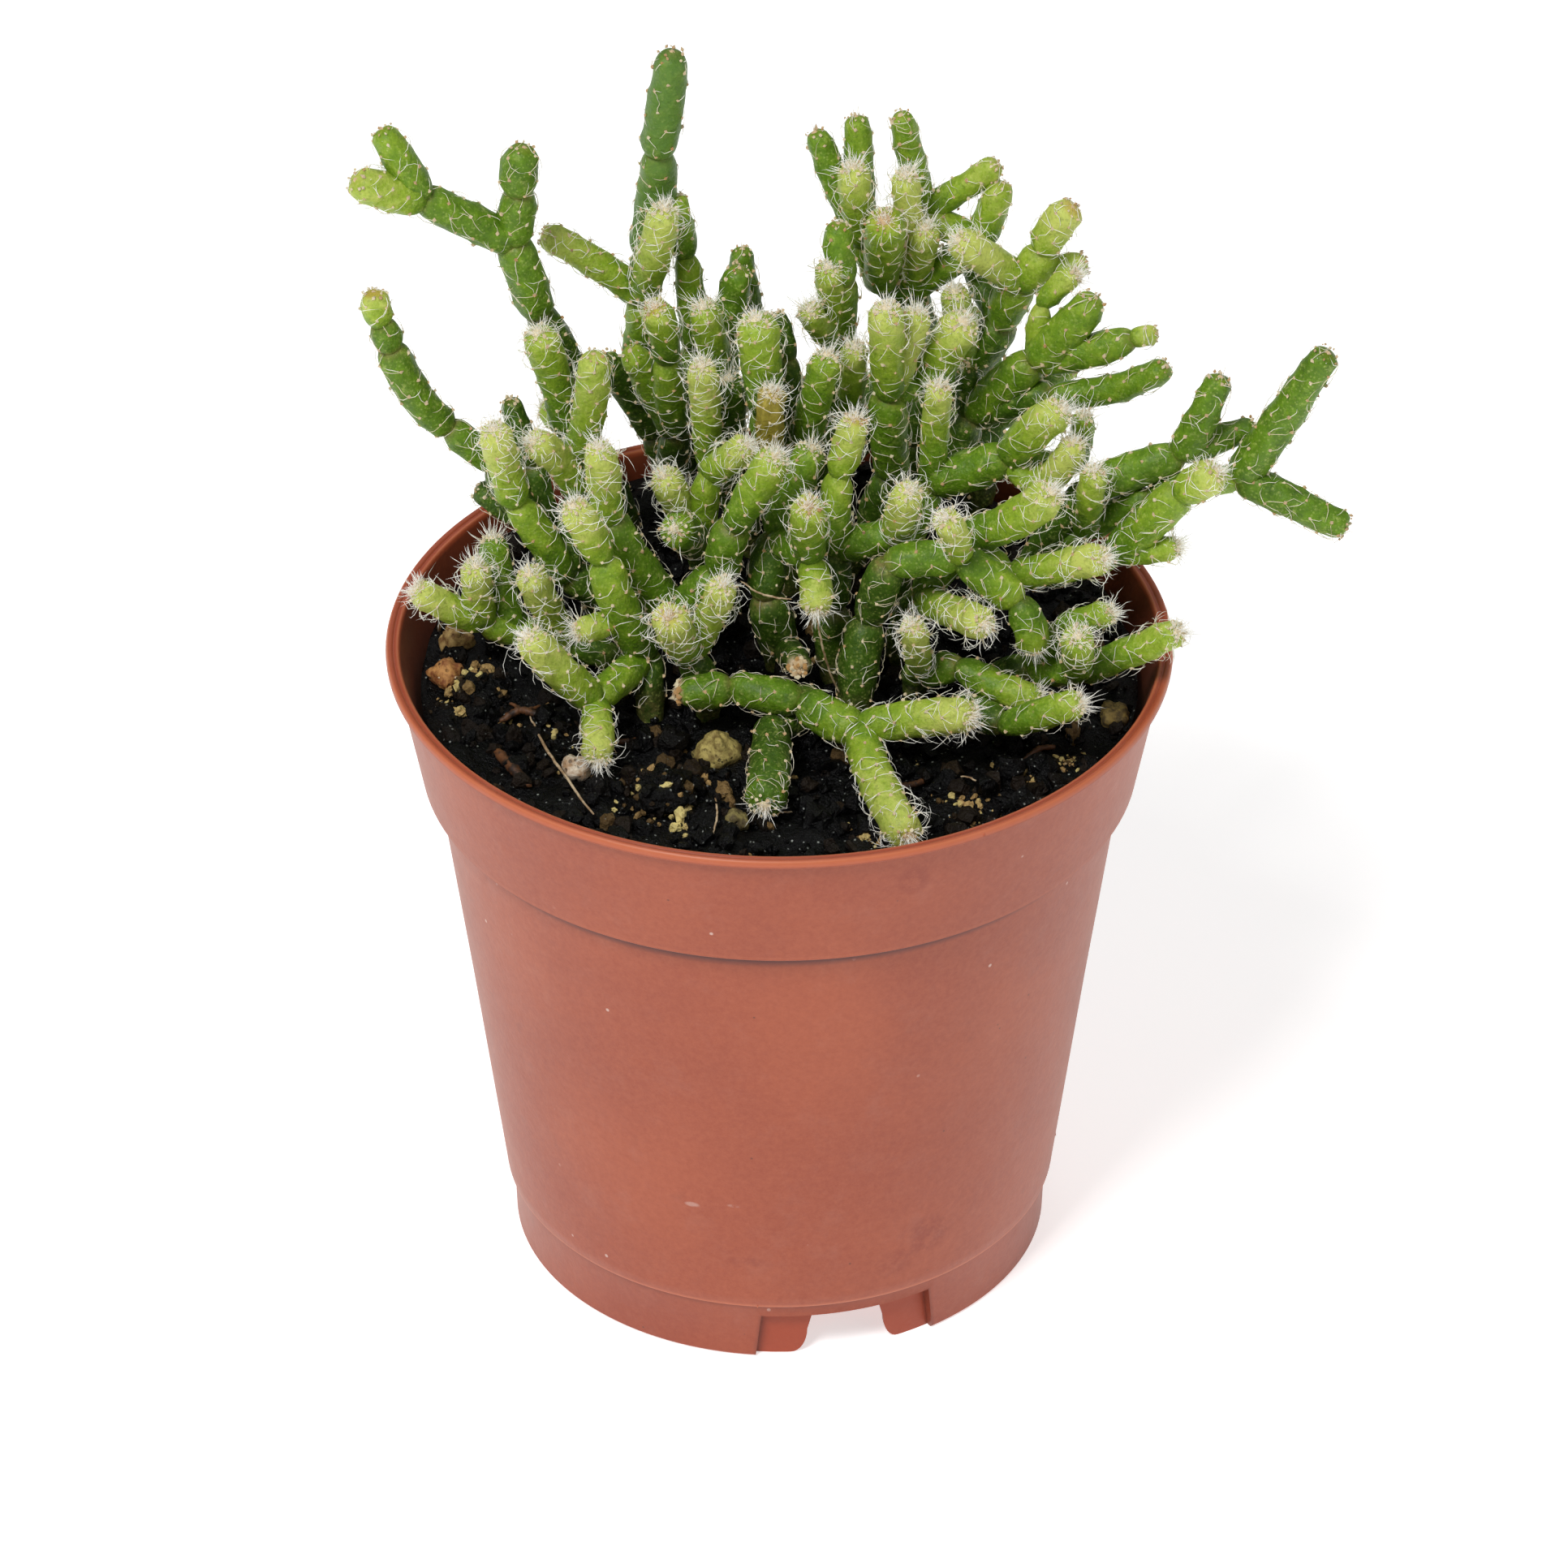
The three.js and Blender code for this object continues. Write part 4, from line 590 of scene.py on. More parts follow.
    def edges(self, bench: Bench, colour: object, level: Signal, away: Signal) -> object:
        """Paint a more orange top on the lip, painted highlights on its crests and on the ledges'
        edges, and painted shade in its groove and under the ledges.

        Args:
            bench: The material's bench.
            colour: The colour so far.
            level: The height.
            away: The distance from the axis.

        Returns:
            The colour with its edges.
        """
        top = level.step(*self.top)
        colour = bench.mix(top * 0.8, colour, self.lip)
        # Painted highlights along the lip's crests.
        colour = bench.mix((top * away.ridges(self.crests)).clamped() * 0.8, colour, self.rim)
        # Painted shade in the lip's groove.
        colour = bench.mix(top * away.ridges(self.groove), colour, self.shade)
        # Painted highlights along the ledges' edges.
        colour = bench.mix(level.ridges(self.ledges), colour, self.rim)
        return bench.mix(level.ridges(self.shadows).clamped(), colour, self.shade)

    def flaps(self, bench: Bench, colour: object, turn: Signal, level: Signal,
              away: Signal) -> object:
        """Paint shade on the foot: a little, redder, on all of it below the ledge, more on the
        recessed flaps, and most along the niches' sides and under their tops.

        Args:
            bench: The material's bench.
            colour: The colour so far.
            turn: The angle from the front, in degrees.
            level: The height.
            away: The distance from the axis.

        Returns:
            The colour with its corners.
        """
        share = (turn - Pot.first_notch) * (Pot.notches / 360) + 0.5
        off = ((share.maths("FRACT") - 0.5) * (360 / Pot.notches)).maths("ABSOLUTE")
        off = off + level * self.flap_lean
        foot = 1 - level.step(Pot.notch_height, Pot.notch_height + 0.1)
        side = off.ridge(self.flap_turn, 0.9) * foot
        sunk = (1 - off.step(self.flap_turn - 0.6, self.flap_turn)) * foot
        sunk = sunk * (1 - away.step(*self.niche))
        ceiling = level.ridge(Pot.notch_height - 0.1, 0.35) * sunk
        # Painted shade on the foot below the ledge.
        colour = bench.mix((1 - level.step(*self.foot)) * 0.2, colour, self.red)
        # Painted shade on the recessed flaps.
        colour = bench.mix(sunk * 0.75, colour, self.flap)
        # Painted shade along the niches' sides and under their tops.
        return bench.mix((side * 0.4 + ceiling * 0.5).clamped(), colour, self.shade)

    def smear(self, bench: Bench, colour: object, turn: Signal, level: Signal) -> object:
        """Draw the faint smudges and scuffs on the wall, and a painted shadow under a stem tip on
        the band.

        Args:
            bench: The material's bench.
            colour: The colour so far.
            turn: The angle from the front, in degrees.
            level: The height.

        Returns:
            The colour with its marks and its painted shadow.
        """
        ragged = bench.noise(0.9, 3.0, 0.7, 41.0).step(0.36, 0.6)
        for at, high, wide, tall, strength in self.smears_and_shadow:
            off = ((turn - at) * (1 / wide)) ** 2 + ((level - high) * (1 / tall)) ** 2
            patch = (1 - off.step(0.1, 1.0)) * ragged * abs(strength)
            colour = bench.mix(patch, colour, self.red if strength > 0 else self.dust)
        return colour


@dataclass(frozen=True)
class StemSkin:
    """The skin of the stem joints, which runs from dark old green to pale yellow-green."""

    ages: tuple[tuple[float, Colour], ...] = (
        (0.0, srgb(46, 70, 15)),
        (0.25, srgb(70, 103, 20)),
        (0.5, srgb(104, 142, 26)),
        (0.75, srgb(150, 178, 48)),
        (1.0, srgb(200, 210, 104)),
    )
    blue: Colour = srgb(84, 120, 56)
    orange: Colour = srgb(208, 142, 58)
    straw: Colour = srgb(176, 146, 62)
    scar: Colour = srgb(206, 182, 148)
    cork: Colour = srgb(158, 132, 84)
    bloom: Colour = srgb(202, 214, 118)

    def material(self) -> Material:
        """Lay out the skin."""
        bench = Bench("stem_skin", ior=1.34, subsurface_weight=0.12, subsurface_scale=0.6 * MM,
                      coat_weight=0.04, coat_roughness=0.25)
        self.scatter(bench)
        mottle = bench.noise(0.9, 4.0, 0.65) - 0.5
        patch = bench.noise(3.2, 2.0, 0.5, 3.0) - 0.5
        fine = bench.noise(0.2, 3.0, 0.65, 5.0)
        age = (bench.attribute("age") + mottle * 0.5 + patch * 0.34 + (fine - 0.5) * 0.3).clamped()
        colour = bench.ramp(age, list(self.ages))
        streak = bench.noise(0.55, 4.0, 0.75, 11.0).step(0.52, 0.68)
        colour = bench.mix(streak * 0.34 + bench.specks(0.32, 0.34) * 0.22, colour, self.bloom)
        shade = bench.noise(0.32, 3.0, 0.7, 21.0).step(0.5, 0.68)
        colour = bench.mix(shade * 0.3, colour, self.ages[0][1])
        colour = bench.mix(bench.attribute("blue") * 0.6, colour, self.blue)
        colour = bench.mix(bench.attribute("straw") * 0.85, colour, self.straw)
        tan = bench.noise(0.45, 3.0, 0.7, 15.0).step(0.64, 0.74)
        cork = bench.attribute("cork") * bench.noise(0.5, 3.0, 0.7, 9.0).step(0.3, 0.62)
        colour = bench.mix(cork * 0.8 + tan * 0.3, colour, self.cork)
        colour = bench.mix(bench.attribute("orange"), colour, self.orange)
        scar = bench.attribute("scar") * bench.noise(0.5, 2.0).step(0.3, 0.5)
        colour = bench.mix(scar, colour, self.scar)
        bench.bump(bench.noise(0.4, 3.0, 0.6, 2.0) + mottle * 0.6 + fine * 0.2, 0.13)
        return bench.finish(base_color=colour, roughness=0.36 + fine * 0.2)

    @staticmethod
    def scatter(bench: Bench) -> None:
        """Set how far each colour of light travels under the skin."""
        bench.shader.inputs["Subsurface Radius"].default_value = (0.6, 1.0, 0.25)


@dataclass(frozen=True)
class Hair:
    """Bristles and wool: pale, a little see-through at the ends, with darker roots."""

    name: str
    root: Colour
    end: Colour
    weathered: Colour
    roughness: float = 0.45
    glow: float = 0.14

    def material(self) -> Material:
        """Lay out the hair. The faint glow stands for the light that thin hairs let through."""
        bench = Bench(self.name, roughness=self.roughness, ior=1.5, sheen_weight=0.2,
                      emission_strength=self.glow)
        along = bench.attribute("along")
        drift = bench.noise(2.0, 1.0) - 0.5
        colour = bench.mix((along + drift * 0.5).step(0.0, 0.55), self.root, self.end)
        colour = bench.mix(bench.attribute("dull") * 0.85, colour, self.weathered)
        return bench.finish(base_color=colour, emission_color=colour)


@dataclass(frozen=True)
class Felt:
    """The woolly felt of an areole or a growing tip: cream, browner in its middle."""

    cream: Colour = srgb(234, 220, 184)
    tan: Colour = srgb(190, 144, 86)
    # How strongly the felt glows: painted light.
    glow: float = 0.07

    def material(self) -> Material:
        """Lay out the felt. Its faint glow is painted light, which keeps the felt pale where it
        lies in shade.
        """
        bench = Bench("areole_felt", roughness=0.9, sheen_weight=0.3, emission_strength=self.glow)
        warm = bench.attribute("warm")
        drift = bench.noise(0.9, 2.0) - 0.5
        colour = bench.mix((warm + drift * 0.8).clamped(), self.cream, self.tan)
        fluff = bench.noise(0.12, 3.0, 0.7)
        bench.bump(fluff, 0.08)
        return bench.finish(base_color=colour, emission_color=colour)


@dataclass(frozen=True)
class Peat:
    """Wet peat: nearly black, with brown, tan and yellow crumbs and a wet gloss in places."""

    wet: Colour = srgb(3, 3, 4)
    brown: Colour = srgb(26, 19, 14)
    glint: Colour = srgb(198, 204, 196)
    tints: tuple[tuple[float, Colour], ...] = (
        (0.0, srgb(5, 5, 5)),
        (0.35, srgb(34, 25, 17)),
        (0.6, srgb(112, 88, 52)),
        (0.8, srgb(196, 160, 104)),
        (1.0, srgb(232, 214, 140)),
    )

    def material(self) -> Material:
        """Lay out the peat."""
        bench = Bench("peat", ior=1.29)
        crumbs = bench.noise(0.8, 5.0, 0.7)
        colour = bench.mix(crumbs.step(0.5, 0.8) * 0.7, self.wet, self.brown)
        tint = bench.attribute("tint")
        shade = (tint + (bench.noise(0.3, 3.0, 0.7, 6.0) - 0.5) * 0.5 * tint).clamped()
        colour = bench.mix(tint.step(0.02, 0.12), colour, bench.ramp(shade, list(self.tints)))
        # Painted glints: pale specks that stand for the wet peat's highlights.
        glint = bench.specks(0.6, 0.17) * bench.noise(1.6, 3.0, 0.6, 31.0).step(0.42, 0.52)
        colour = bench.mix(glint * (1 - tint) * 0.62, colour, self.glint)
        rough = 0.1 + bench.noise(1.1, 3.0, 0.6, 8.0) * 0.55 + tint * 0.35
        bench.bump(crumbs + bench.noise(0.25, 3.0, 0.6, 2.0) * 0.5, 0.4)
        return bench.finish(base_color=colour, roughness=rough)


@dataclass(frozen=True)
class Stone:
    """Pumice, perlite, bark or a clod of soil."""

    name: str
    light: Colour
    dark: Colour
    pores: float = 0.45
    grain: float = 0.6
    roughness: float = 0.75

    def material(self) -> Material:
        """Lay out the stone."""
        bench = Bench(self.name, roughness=self.roughness)
        cloud = bench.noise(self.grain, 4.0, 0.65)
        colour = bench.mix(cloud.step(0.35, 0.65), self.dark, self.light)
        pores = bench.specks(self.pores, 0.38) * bench.noise(0.7, 1.0, 0.5, 3.0).step(0.45, 0.6)
        # The pores are painted dark, as painted shade in the holes.
        colour = bench.mix(pores * 0.75, colour, tuple(0.25 * part for part in self.dark))
        bench.bump(cloud * 0.8 - pores * 0.6, 0.16)
        return bench.finish(base_color=colour)


@dataclass(frozen=True)
class Fibre:
    """Root fibres and dry litter."""

    name: str
    light: Colour
    dark: Colour

    def material(self) -> Material:
        """Lay out the fibre."""
        bench = Bench(self.name, roughness=0.6)
        colour = bench.mix(bench.noise(0.7, 3.0, 0.6).step(0.35, 0.65), self.dark, self.light)
        bench.bump(bench.noise(0.2, 2.0), 0.05)
        return bench.finish(base_color=colour)


# ------ modelling helpers

def deselect() -> None:
    """Leave edit mode and deselect everything, because an operator acts on all that is selected."""
    if bpy.context.object and bpy.context.object.mode != "OBJECT":
        bpy.ops.object.mode_set(mode="OBJECT")
    bpy.ops.object.select_all(action="DESELECT")


def only(piece: Object) -> Object:
    """Select one piece alone and make it active."""
    deselect()
    piece.select_set(True)
    bpy.context.view_layer.objects.active = piece
    return piece


@contextmanager
def editing(piece: Object, kind: str = "EDGE", outwards: bool = True) -> Iterator[None]:
    """Edit a piece that is wholly selected at first.

    Args:
        piece: The piece.
        kind: What is selected on it.
        outwards: Whether its faces are turned outwards at the end.
    """
    only(piece)
    bpy.ops.object.mode_set(mode="EDIT")
    bpy.ops.mesh.select_mode(type=kind)
    bpy.ops.mesh.select_all(action="SELECT")
    yield
    if outwards:
        bpy.ops.mesh.select_all(action="SELECT")
        bpy.ops.mesh.normals_make_consistent(inside=False)
    bpy.ops.object.mode_set(mode="OBJECT")


def draw_along(outline: tuple[tuple[float, float], ...]) -> None:
    """Extrude and scale the selected ring along an outline.

    Args:
        outline: The outline's radii and heights, from the ring's own onwards.
    """
    for (radius, level), (wide, high) in zip(outline, outline[1:]):
        rise = (0, 0, (high - level) * MM)
        bpy.ops.mesh.extrude_region_move(TRANSFORM_OT_translate={"value": rise})
        ratio = wide / radius
        bpy.ops.transform.resize(value=(ratio, ratio, 1), center_override=(0, 0, high * MM))


def show(mesh: Mesh) -> Object:
    """Make a piece of a mesh.

    Args:
        mesh: The mesh.

    Returns:
        The piece, at the origin.
    """
    piece = bpy.data.objects.new(mesh.name, mesh)
    bpy.context.scene.collection.objects.link(piece)
    return piece


def make_cutter(corners: list[Point], faces: list[tuple[int, ...]]) -> Object:
    """Make a solid that cuts, or one face of it.

    Args:
        corners: Its corners in metres.
        faces: The corners' numbers round each face.

    Returns:
        The cutter.
    """
    mesh = bpy.data.meshes.new("cutter")
    mesh.from_pydata(corners, [], faces)
    return show(mesh)


def take_away(piece: Object, cutter: Object) -> None:
    """Cut one solid out of a piece and remove it.

    Args:
        piece: The piece.
        cutter: The solid.
    """
    only(piece)
    modifier = piece.modifiers.new("boolean", "BOOLEAN")
    modifier.operation, modifier.solver, modifier.object = "DIFFERENCE", "MANIFOLD", cutter
    bpy.ops.object.modifier_apply(modifier=modifier.name)
    only(cutter)
    bpy.ops.object.delete()


def dress(piece: Object, material: Material, slot: str | None, *nodes: str) -> None:
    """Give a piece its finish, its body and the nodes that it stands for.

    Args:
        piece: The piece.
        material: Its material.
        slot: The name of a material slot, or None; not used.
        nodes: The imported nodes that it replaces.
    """
    piece.data.materials.clear()
    piece.data.materials.append(material)
    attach(piece, BODY)
    if nodes:
        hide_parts(*nodes)
    LOG.info("%s: %d faces", piece.name, len(piece.data.polygons))


@dataclass(frozen=True)
class Blank:
    """A closed form modelled once: rings of corners from one pole to the other.

    A copy is made by threading its rings on a path. spin and row are each corner's angle and ring,
    out is 0 at the poles and 1 elsewhere.
    """

    row: Array
    spin: Array
    out: Array
    loops: Array
    sizes: Array

    @property
    def rows(self) -> int:
        """How many places on the path it has, with both poles."""
        return int(self.row.max()) + 1

    @classmethod
    def ball(cls, sides: int, rings: int) -> "Blank":
        """Model a blank from a sphere primitive.

        Args:
            sides: Corners in each ring.
            rings: Rings between the poles.

        Returns:
            The blank, and the primitive is removed.
        """
        deselect()
        bpy.ops.mesh.primitive_uv_sphere_add(segments=sides, ring_count=rings + 1, radius=1.0)
        ball = bpy.context.object
        corners = np.array([tuple(vertex.co) for vertex in ball.data.vertices])
        fall = np.arccos(np.clip(-corners[:, 2], -1.0, 1.0))
        row = np.rint(fall / math.pi * (rings + 1)).astype(int)
        loops = np.array([index for face in ball.data.polygons for index in face.vertices])
        sizes = np.array([len(face.vertices) for face in ball.data.polygons])
        out = np.where((row == 0) | (row == rings + 1), 0.0, 1.0)
        bpy.ops.object.delete()
        return cls(row, np.arctan2(corners[:, 1], corners[:, 0]), out, loops, sizes)


def unit(vectors: Array) -> Array:
    """Vectors of length 1 along the last axis."""
    return vectors / np.maximum(np.linalg.norm(vectors, axis=-1, keepdims=True), 1e-12)


def thread(blank: Blank, paths: Array, radii: Array, hint: Array) -> Array:
    """Thread copies of a blank on paths.

    Args:
        blank: The blank.
        paths: Places of its rows, one path a copy: copies x rows x 3.
        radii: The radius at each row: copies x rows.
        hint: A direction for each copy that its rings' first corner faces.

    Returns:
        The corners of all copies: copies x corners x 3.
    """
    heading = unit(np.gradient(paths, axis=1))
    side = hint[:, None, :] - heading * (hint[:, None, :] * heading).sum(-1, keepdims=True)
    side = unit(side)
    other = np.cross(heading, side)
    reach = radii[:, blank.row] * blank.out
    around = (side[:, blank.row] * np.cos(blank.spin)[:, None]
              + other[:, blank.row] * np.sin(blank.spin)[:, None])
    return paths[:, blank.row] + around * reach[..., None]


@dataclass
class Bundle:
    """Many copies of blanks that become one mesh."""

    corners: list[Array] = field(default_factory=list)
    loops: list[Array] = field(default_factory=list)
    sizes: list[Array] = field(default_factory=list)
    marks: dict[str, list[Array]] = field(default_factory=dict)
    count: int = 0

    def add(self, blank: Blank, corners: Array, **marks: Array | float) -> None:
        """Add copies.

        Args:
            blank: The blank that they are copies of.
            corners: Their corners: copies x corners x 3.
            marks: Numbers kept on their points, for each corner or the same for all.
        """
        copies, each, _ = corners.shape
        starts = self.count + each * np.arange(copies)
        self.corners.append(corners.reshape(-1, 3))
        self.loops.append((blank.loops[None, :] + starts[:, None]).reshape(-1))
        self.sizes.append(np.tile(blank.sizes, copies))
        for name, value in marks.items():
            spread = np.broadcast_to(np.asarray(value, dtype=float), (copies, each)).reshape(-1)
            self.marks.setdefault(name, []).append(spread)
        self.count += copies * each

    def to_piece(self, name: str, smooth: bool = True) -> Object:
        """Make the mesh.

        Args:
            name: The piece's name.
            smooth: Whether its faces are shaded smooth.

        Returns:
            The piece, at the origin.
        """
        corners = np.concatenate(self.corners) * MM
        loops = np.concatenate(self.loops)
        sizes = np.concatenate(self.sizes)
        mesh = bpy.data.meshes.new(name)
        mesh.vertices.add(len(corners))
        mesh.vertices.foreach_set("co", corners.astype(np.float32).ravel())
        mesh.loops.add(len(loops))
        mesh.loops.foreach_set("vertex_index", loops.astype(np.int32))
        mesh.polygons.add(len(sizes))
        starts = np.concatenate([[0], np.cumsum(sizes)[:-1]])
        mesh.polygons.foreach_set("loop_start", starts.astype(np.int32))
        mesh.update(calc_edges=True)
        mesh.validate()
        mesh.polygons.foreach_set("use_smooth", np.full(len(mesh.polygons), smooth))
        for mark, values in self.marks.items():
            layer = mesh.attributes.new(mark, "FLOAT", "POINT")
            layer.data.foreach_set("value", np.concatenate(values).astype(np.float32))
        return show(mesh)


# ------ the drawing board

def minus(a: Point, b: Point) -> Point:
    """a - b."""
    return (a[0] - b[0], a[1] - b[1], a[2] - b[2])


def dot(a: Point, b: Point) -> float:
    """The dot product of two vectors."""
    return a[0] * b[0] + a[1] * b[1] + a[2] * b[2]


def lerp(a: Point, b: Point, share: float) -> Point:
    """The point a share of the way from a to b."""
    return (a[0] + (b[0] - a[0]) * share, a[1] + (b[1] - a[1]) * share,
            a[2] + (b[2] - a[2]) * share)


def closest(a0: Point, a1: Point, b0: Point, b1: Point) -> tuple[float, float]:
    """Find where two straight stems come closest.

    Args:
        a0: One end of the first stem.
        a1: Its other end.
        b0: One end of the second stem.
        b1: Its other end.

    Returns:
        How far along each of them the place lies, 0 to 1.
    """
    along, beside, apart = minus(a1, a0), minus(b1, b0), minus(a0, b0)
    aa, bb, ab = dot(along, along), dot(beside, beside), dot(along, beside)
    ac, bc = dot(along, apart), dot(beside, apart)
    spread = aa * bb - ab * ab
    s = min(max((ab * bc - ac * bb) / spread, 0.0), 1.0) if spread > 1e-9 else 0.0
    t = min(max((ab * s + bc) / bb, 0.0), 1.0)
    s = min(max((ab * t - ac) / aa, 0.0), 1.0)
    return s, t


@dataclass(frozen=True)
class Board:
    """The slanting drawing board, and the eye in front of the pot and above it that it faces."""

    distance: float = 605.0
    slope: float = math.radians(34.31)
    eye: Point = (0.318, -505.4, 48.7 + 332.5)

    @property
    def sight(self) -> Point:
        """The eye's line of sight."""
        return (0.0, math.cos(self.slope), -math.sin(self.slope))

    @property
    def up(self) -> Point:
        """The direction up the board."""
        return (0.0, math.sin(self.slope), math.cos(self.slope))

    def place(self, across: float, up: float, back: float) -> Point:
        """Place a point of the board in space.

        Args:
            across: Millimetres across the board.
            up: Millimetres up the board.
            back: The upright plane y = back that the point lies on.

        Returns:
            The point in space.
        """
        eye, sight, rise = self.eye, self.sight, self.up
        on_board = tuple(eye[k] + sight[k] * self.distance + rise[k] * up for k in range(3))
        on_board = (on_board[0] + across, on_board[1], on_board[2])
        return lerp(eye, on_board, (back - eye[1]) / (on_board[1] - eye[1]))


BOARD = Board()


@dataclass(frozen=True)
class Ground:
    """The height of the soil: heaped towards the back, with a lumpy top."""

    rim: float = 48.7
    front: float = 3.9
    heap: float = 2.6
    lump: float = 0.16
    edge: float = 25.0

    def height(self, x: float, y: float) -> float:
        """Work out the soil's height.

        Args:
            x: Where on the ground, across.
            y: Where on the ground, towards the back.

        Returns:
            The height without clumps.
        """
        share = min(max((y + 6) / 30, 0.0), 1.0)
        heap = self.heap * (share * share * (3 - 2 * share))
        lumps = math.sin(0.9 * x + 0.4 * y) + math.sin(1.3 * y - 0.5 * x + 1)
        return self.rim - self.front + heap + self.lump * lumps

    def under(self, across: float, up: float) -> Point:
        """Find where the line of sight through a point of the board meets the soil.

        Args:
            across: Millimetres across the board.
            up: Millimetres up the board.

        Returns:
            The point on the soil.
        """
        back = 0.0
        point = BOARD.place(across, up, back)
        for _ in range(12):
            back += (point[2] - self.height(point[0], point[1])) / math.tan(BOARD.slope)
            point = BOARD.place(across, up, back)
        return point


GROUND = Ground()


# ------ stems in space

class Age(Enum):
    """How old a stem joint is, and with that its colour and how its bristles stand."""

    OLD = "old"
    GROWN = "grown"
    FRESH = "fresh"
    YOUNG = "young"
    BLUISH = "bluish"


@dataclass
class Joint:
    """A place where stem joints meet, with its place on the board."""

    board: list[float]
    point: Point
    fixed: bool = False
    soft: bool = False

    def shift(self, distance: float) -> None:
        """Move the joint back along the line of sight."""
        self.board[2] += distance
        self.point = BOARD.place(*self.board)


@dataclass(frozen=True)
class Stem:
    """A stem joint between two joints."""

    cutting: str
    start: Joint
    end: Joint
    radius: float
    age: Age = Age.GROWN
    oddity: str = ""
    tip: bool = False
    woolly: bool = False
    root: bool = False


@dataclass
class Plan:
    """All stem joints of the plant, settled against each other."""

    plump: float = 1.08
    gap: float = 0.36
    stand: float = 1.3
    root_depth: float = 5.0
    root_width: float = 0.8
    sweeps: int = 160
    reach: float = 1.5
    ease: float = 0.6
    stride: float = 0.5
    lip: float = 27.5
    stems: list[Stem] = field(default_factory=list)

    def lay_out(self) -> None:
        """Place the joints and stem joints of every cutting in space."""
        for name, (joints, codes) in CUTTINGS.items():
            placed = {letter: Joint(board, BOARD.place(*board), letter == "a")
                      for letter, board in joints.items()}
            first = placed["a"]
            x, y, _ = first.point
            ground = GROUND.height(x, y)
            first.point = (x, y, ground + self.stand)
            foot = Joint([0.0, 0.0, 0.0], (x, y, ground - self.root_depth), True)
            width = self.root_width * self.plump * codes[0][1] / 2
            self.stems.append(Stem(name, foot, first, width, Age.OLD, root=True))
            for code, size, look in codes:
                start, end, mark = placed[code[0]], placed[code[1]], code[2:]
                end.soft = end.soft or mark == "."
                age, _, oddity = look.partition(":")
                self.stems.append(Stem(name, start, end, self.plump * size / 2, Age(age), oddity,
                                       mark in ("'", '"'), mark == "'"))

    def crossings(self) -> list[tuple[Stem, Stem, float, int]]:
        """List the pairs of stem joints that pass each other on the board.

        Returns:
            Each pair, the room it needs and 1 or -1 for which one lies behind.
        """
        pairs = []
        loose = [stem for stem in self.stems if not stem.root]
        for i, front in enumerate(loose):
            for back in loose[i + 1:]:
                if front.cutting == back.cutting:
                    continue
                ends = [(joint.board[0], joint.board[1], 0.0)
                        for joint in (front.start, front.end, back.start, back.end)]
                s, t = closest(*ends)
                near = minus(lerp(ends[0], ends[1], s), lerp(ends[2], ends[3], t))
                room = front.radius + back.radius + self.gap
                if math.sqrt(dot(near, near)) > room + self.reach:
                    continue
                depth = (lerp(back.start.point, back.end.point, t)[1]
                         - lerp(front.start.point, front.end.point, s)[1])
                pairs.append((front, back, room, -1 if depth < 0 else 1))
        return pairs

    def part(self, front: Stem, back: Stem, room: float, order: int) -> None:
        """Move two crossing stem joints apart along the line of sight.

        Args:
            front: The first stem joint.
            back: The second one.
            room: The distance that their middles need.
            order: 1 where the second one lies behind, or -1.
        """
        s, t = closest(front.start.point, front.end.point, back.start.point, back.end.point)
        gap = minus(lerp(back.start.point, back.end.point, t),
                    lerp(front.start.point, front.end.point, s))
        along = dot(gap, BOARD.sight)
        wanted = room * room - (dot(gap, gap) - along * along)
        missing = math.sqrt(wanted) - order * along if wanted > 0 else 0.0
        if missing <= 0:
            return
        parts = [(joint, share) for joint, share in (
            (front.start, s - 1), (front.end, -s), (back.start, 1 - t), (back.end, t))
            if not joint.fixed]
        weight = sum(share * share for _, share in parts)
        if weight < 1e-6:
            return
        push = min(missing * math.cos(BOARD.slope) * self.ease, self.stride) * order
        for joint, share in parts:
            joint.shift(push * share / max(weight, 0.25))

    def settle(self) -> None:
        """Let crossing stems rest on each other and keep them above the soil."""
        pairs = self.crossings()
        loose = [stem for stem in self.stems if not stem.root]
        for _ in range(self.sweeps):
            for pair in pairs:
                self.part(*pair)
            for stem in loose:
                x, y, z = stem.end.point
                sunk = GROUND.height(x, y) + stem.radius + self.gap - z
                if math.hypot(x, y) < self.lip and sunk > 0:
                    stem.end.shift(-sunk * self.ease)
        LOG.info("plan: %d stem joints, %d crossings", len(self.stems), len(pairs))

    def chains(self, cutting: str) -> list[list[Stem]]:
        """Join the halves of curved stem joints, and each root stretch to the stem joint on it.

        Args:
            cutting: The cutting's name.

        Returns:
            Its stem joints, each as a list of the stretches that it is made of.
        """
        own = [stem for stem in self.stems if stem.cutting == cutting]
        taken: set[int] = set()
        chains = []
        for stem in own:
            if id(stem) in taken:
                continue
            chain = [stem]
            while chain[-1].end.soft or chain[-1].root:
                chain.append(next(other for other in own if other.start is chain[-1].end))
            taken.update(id(part) for part in chain)
            chains.append(chain)
        return chains


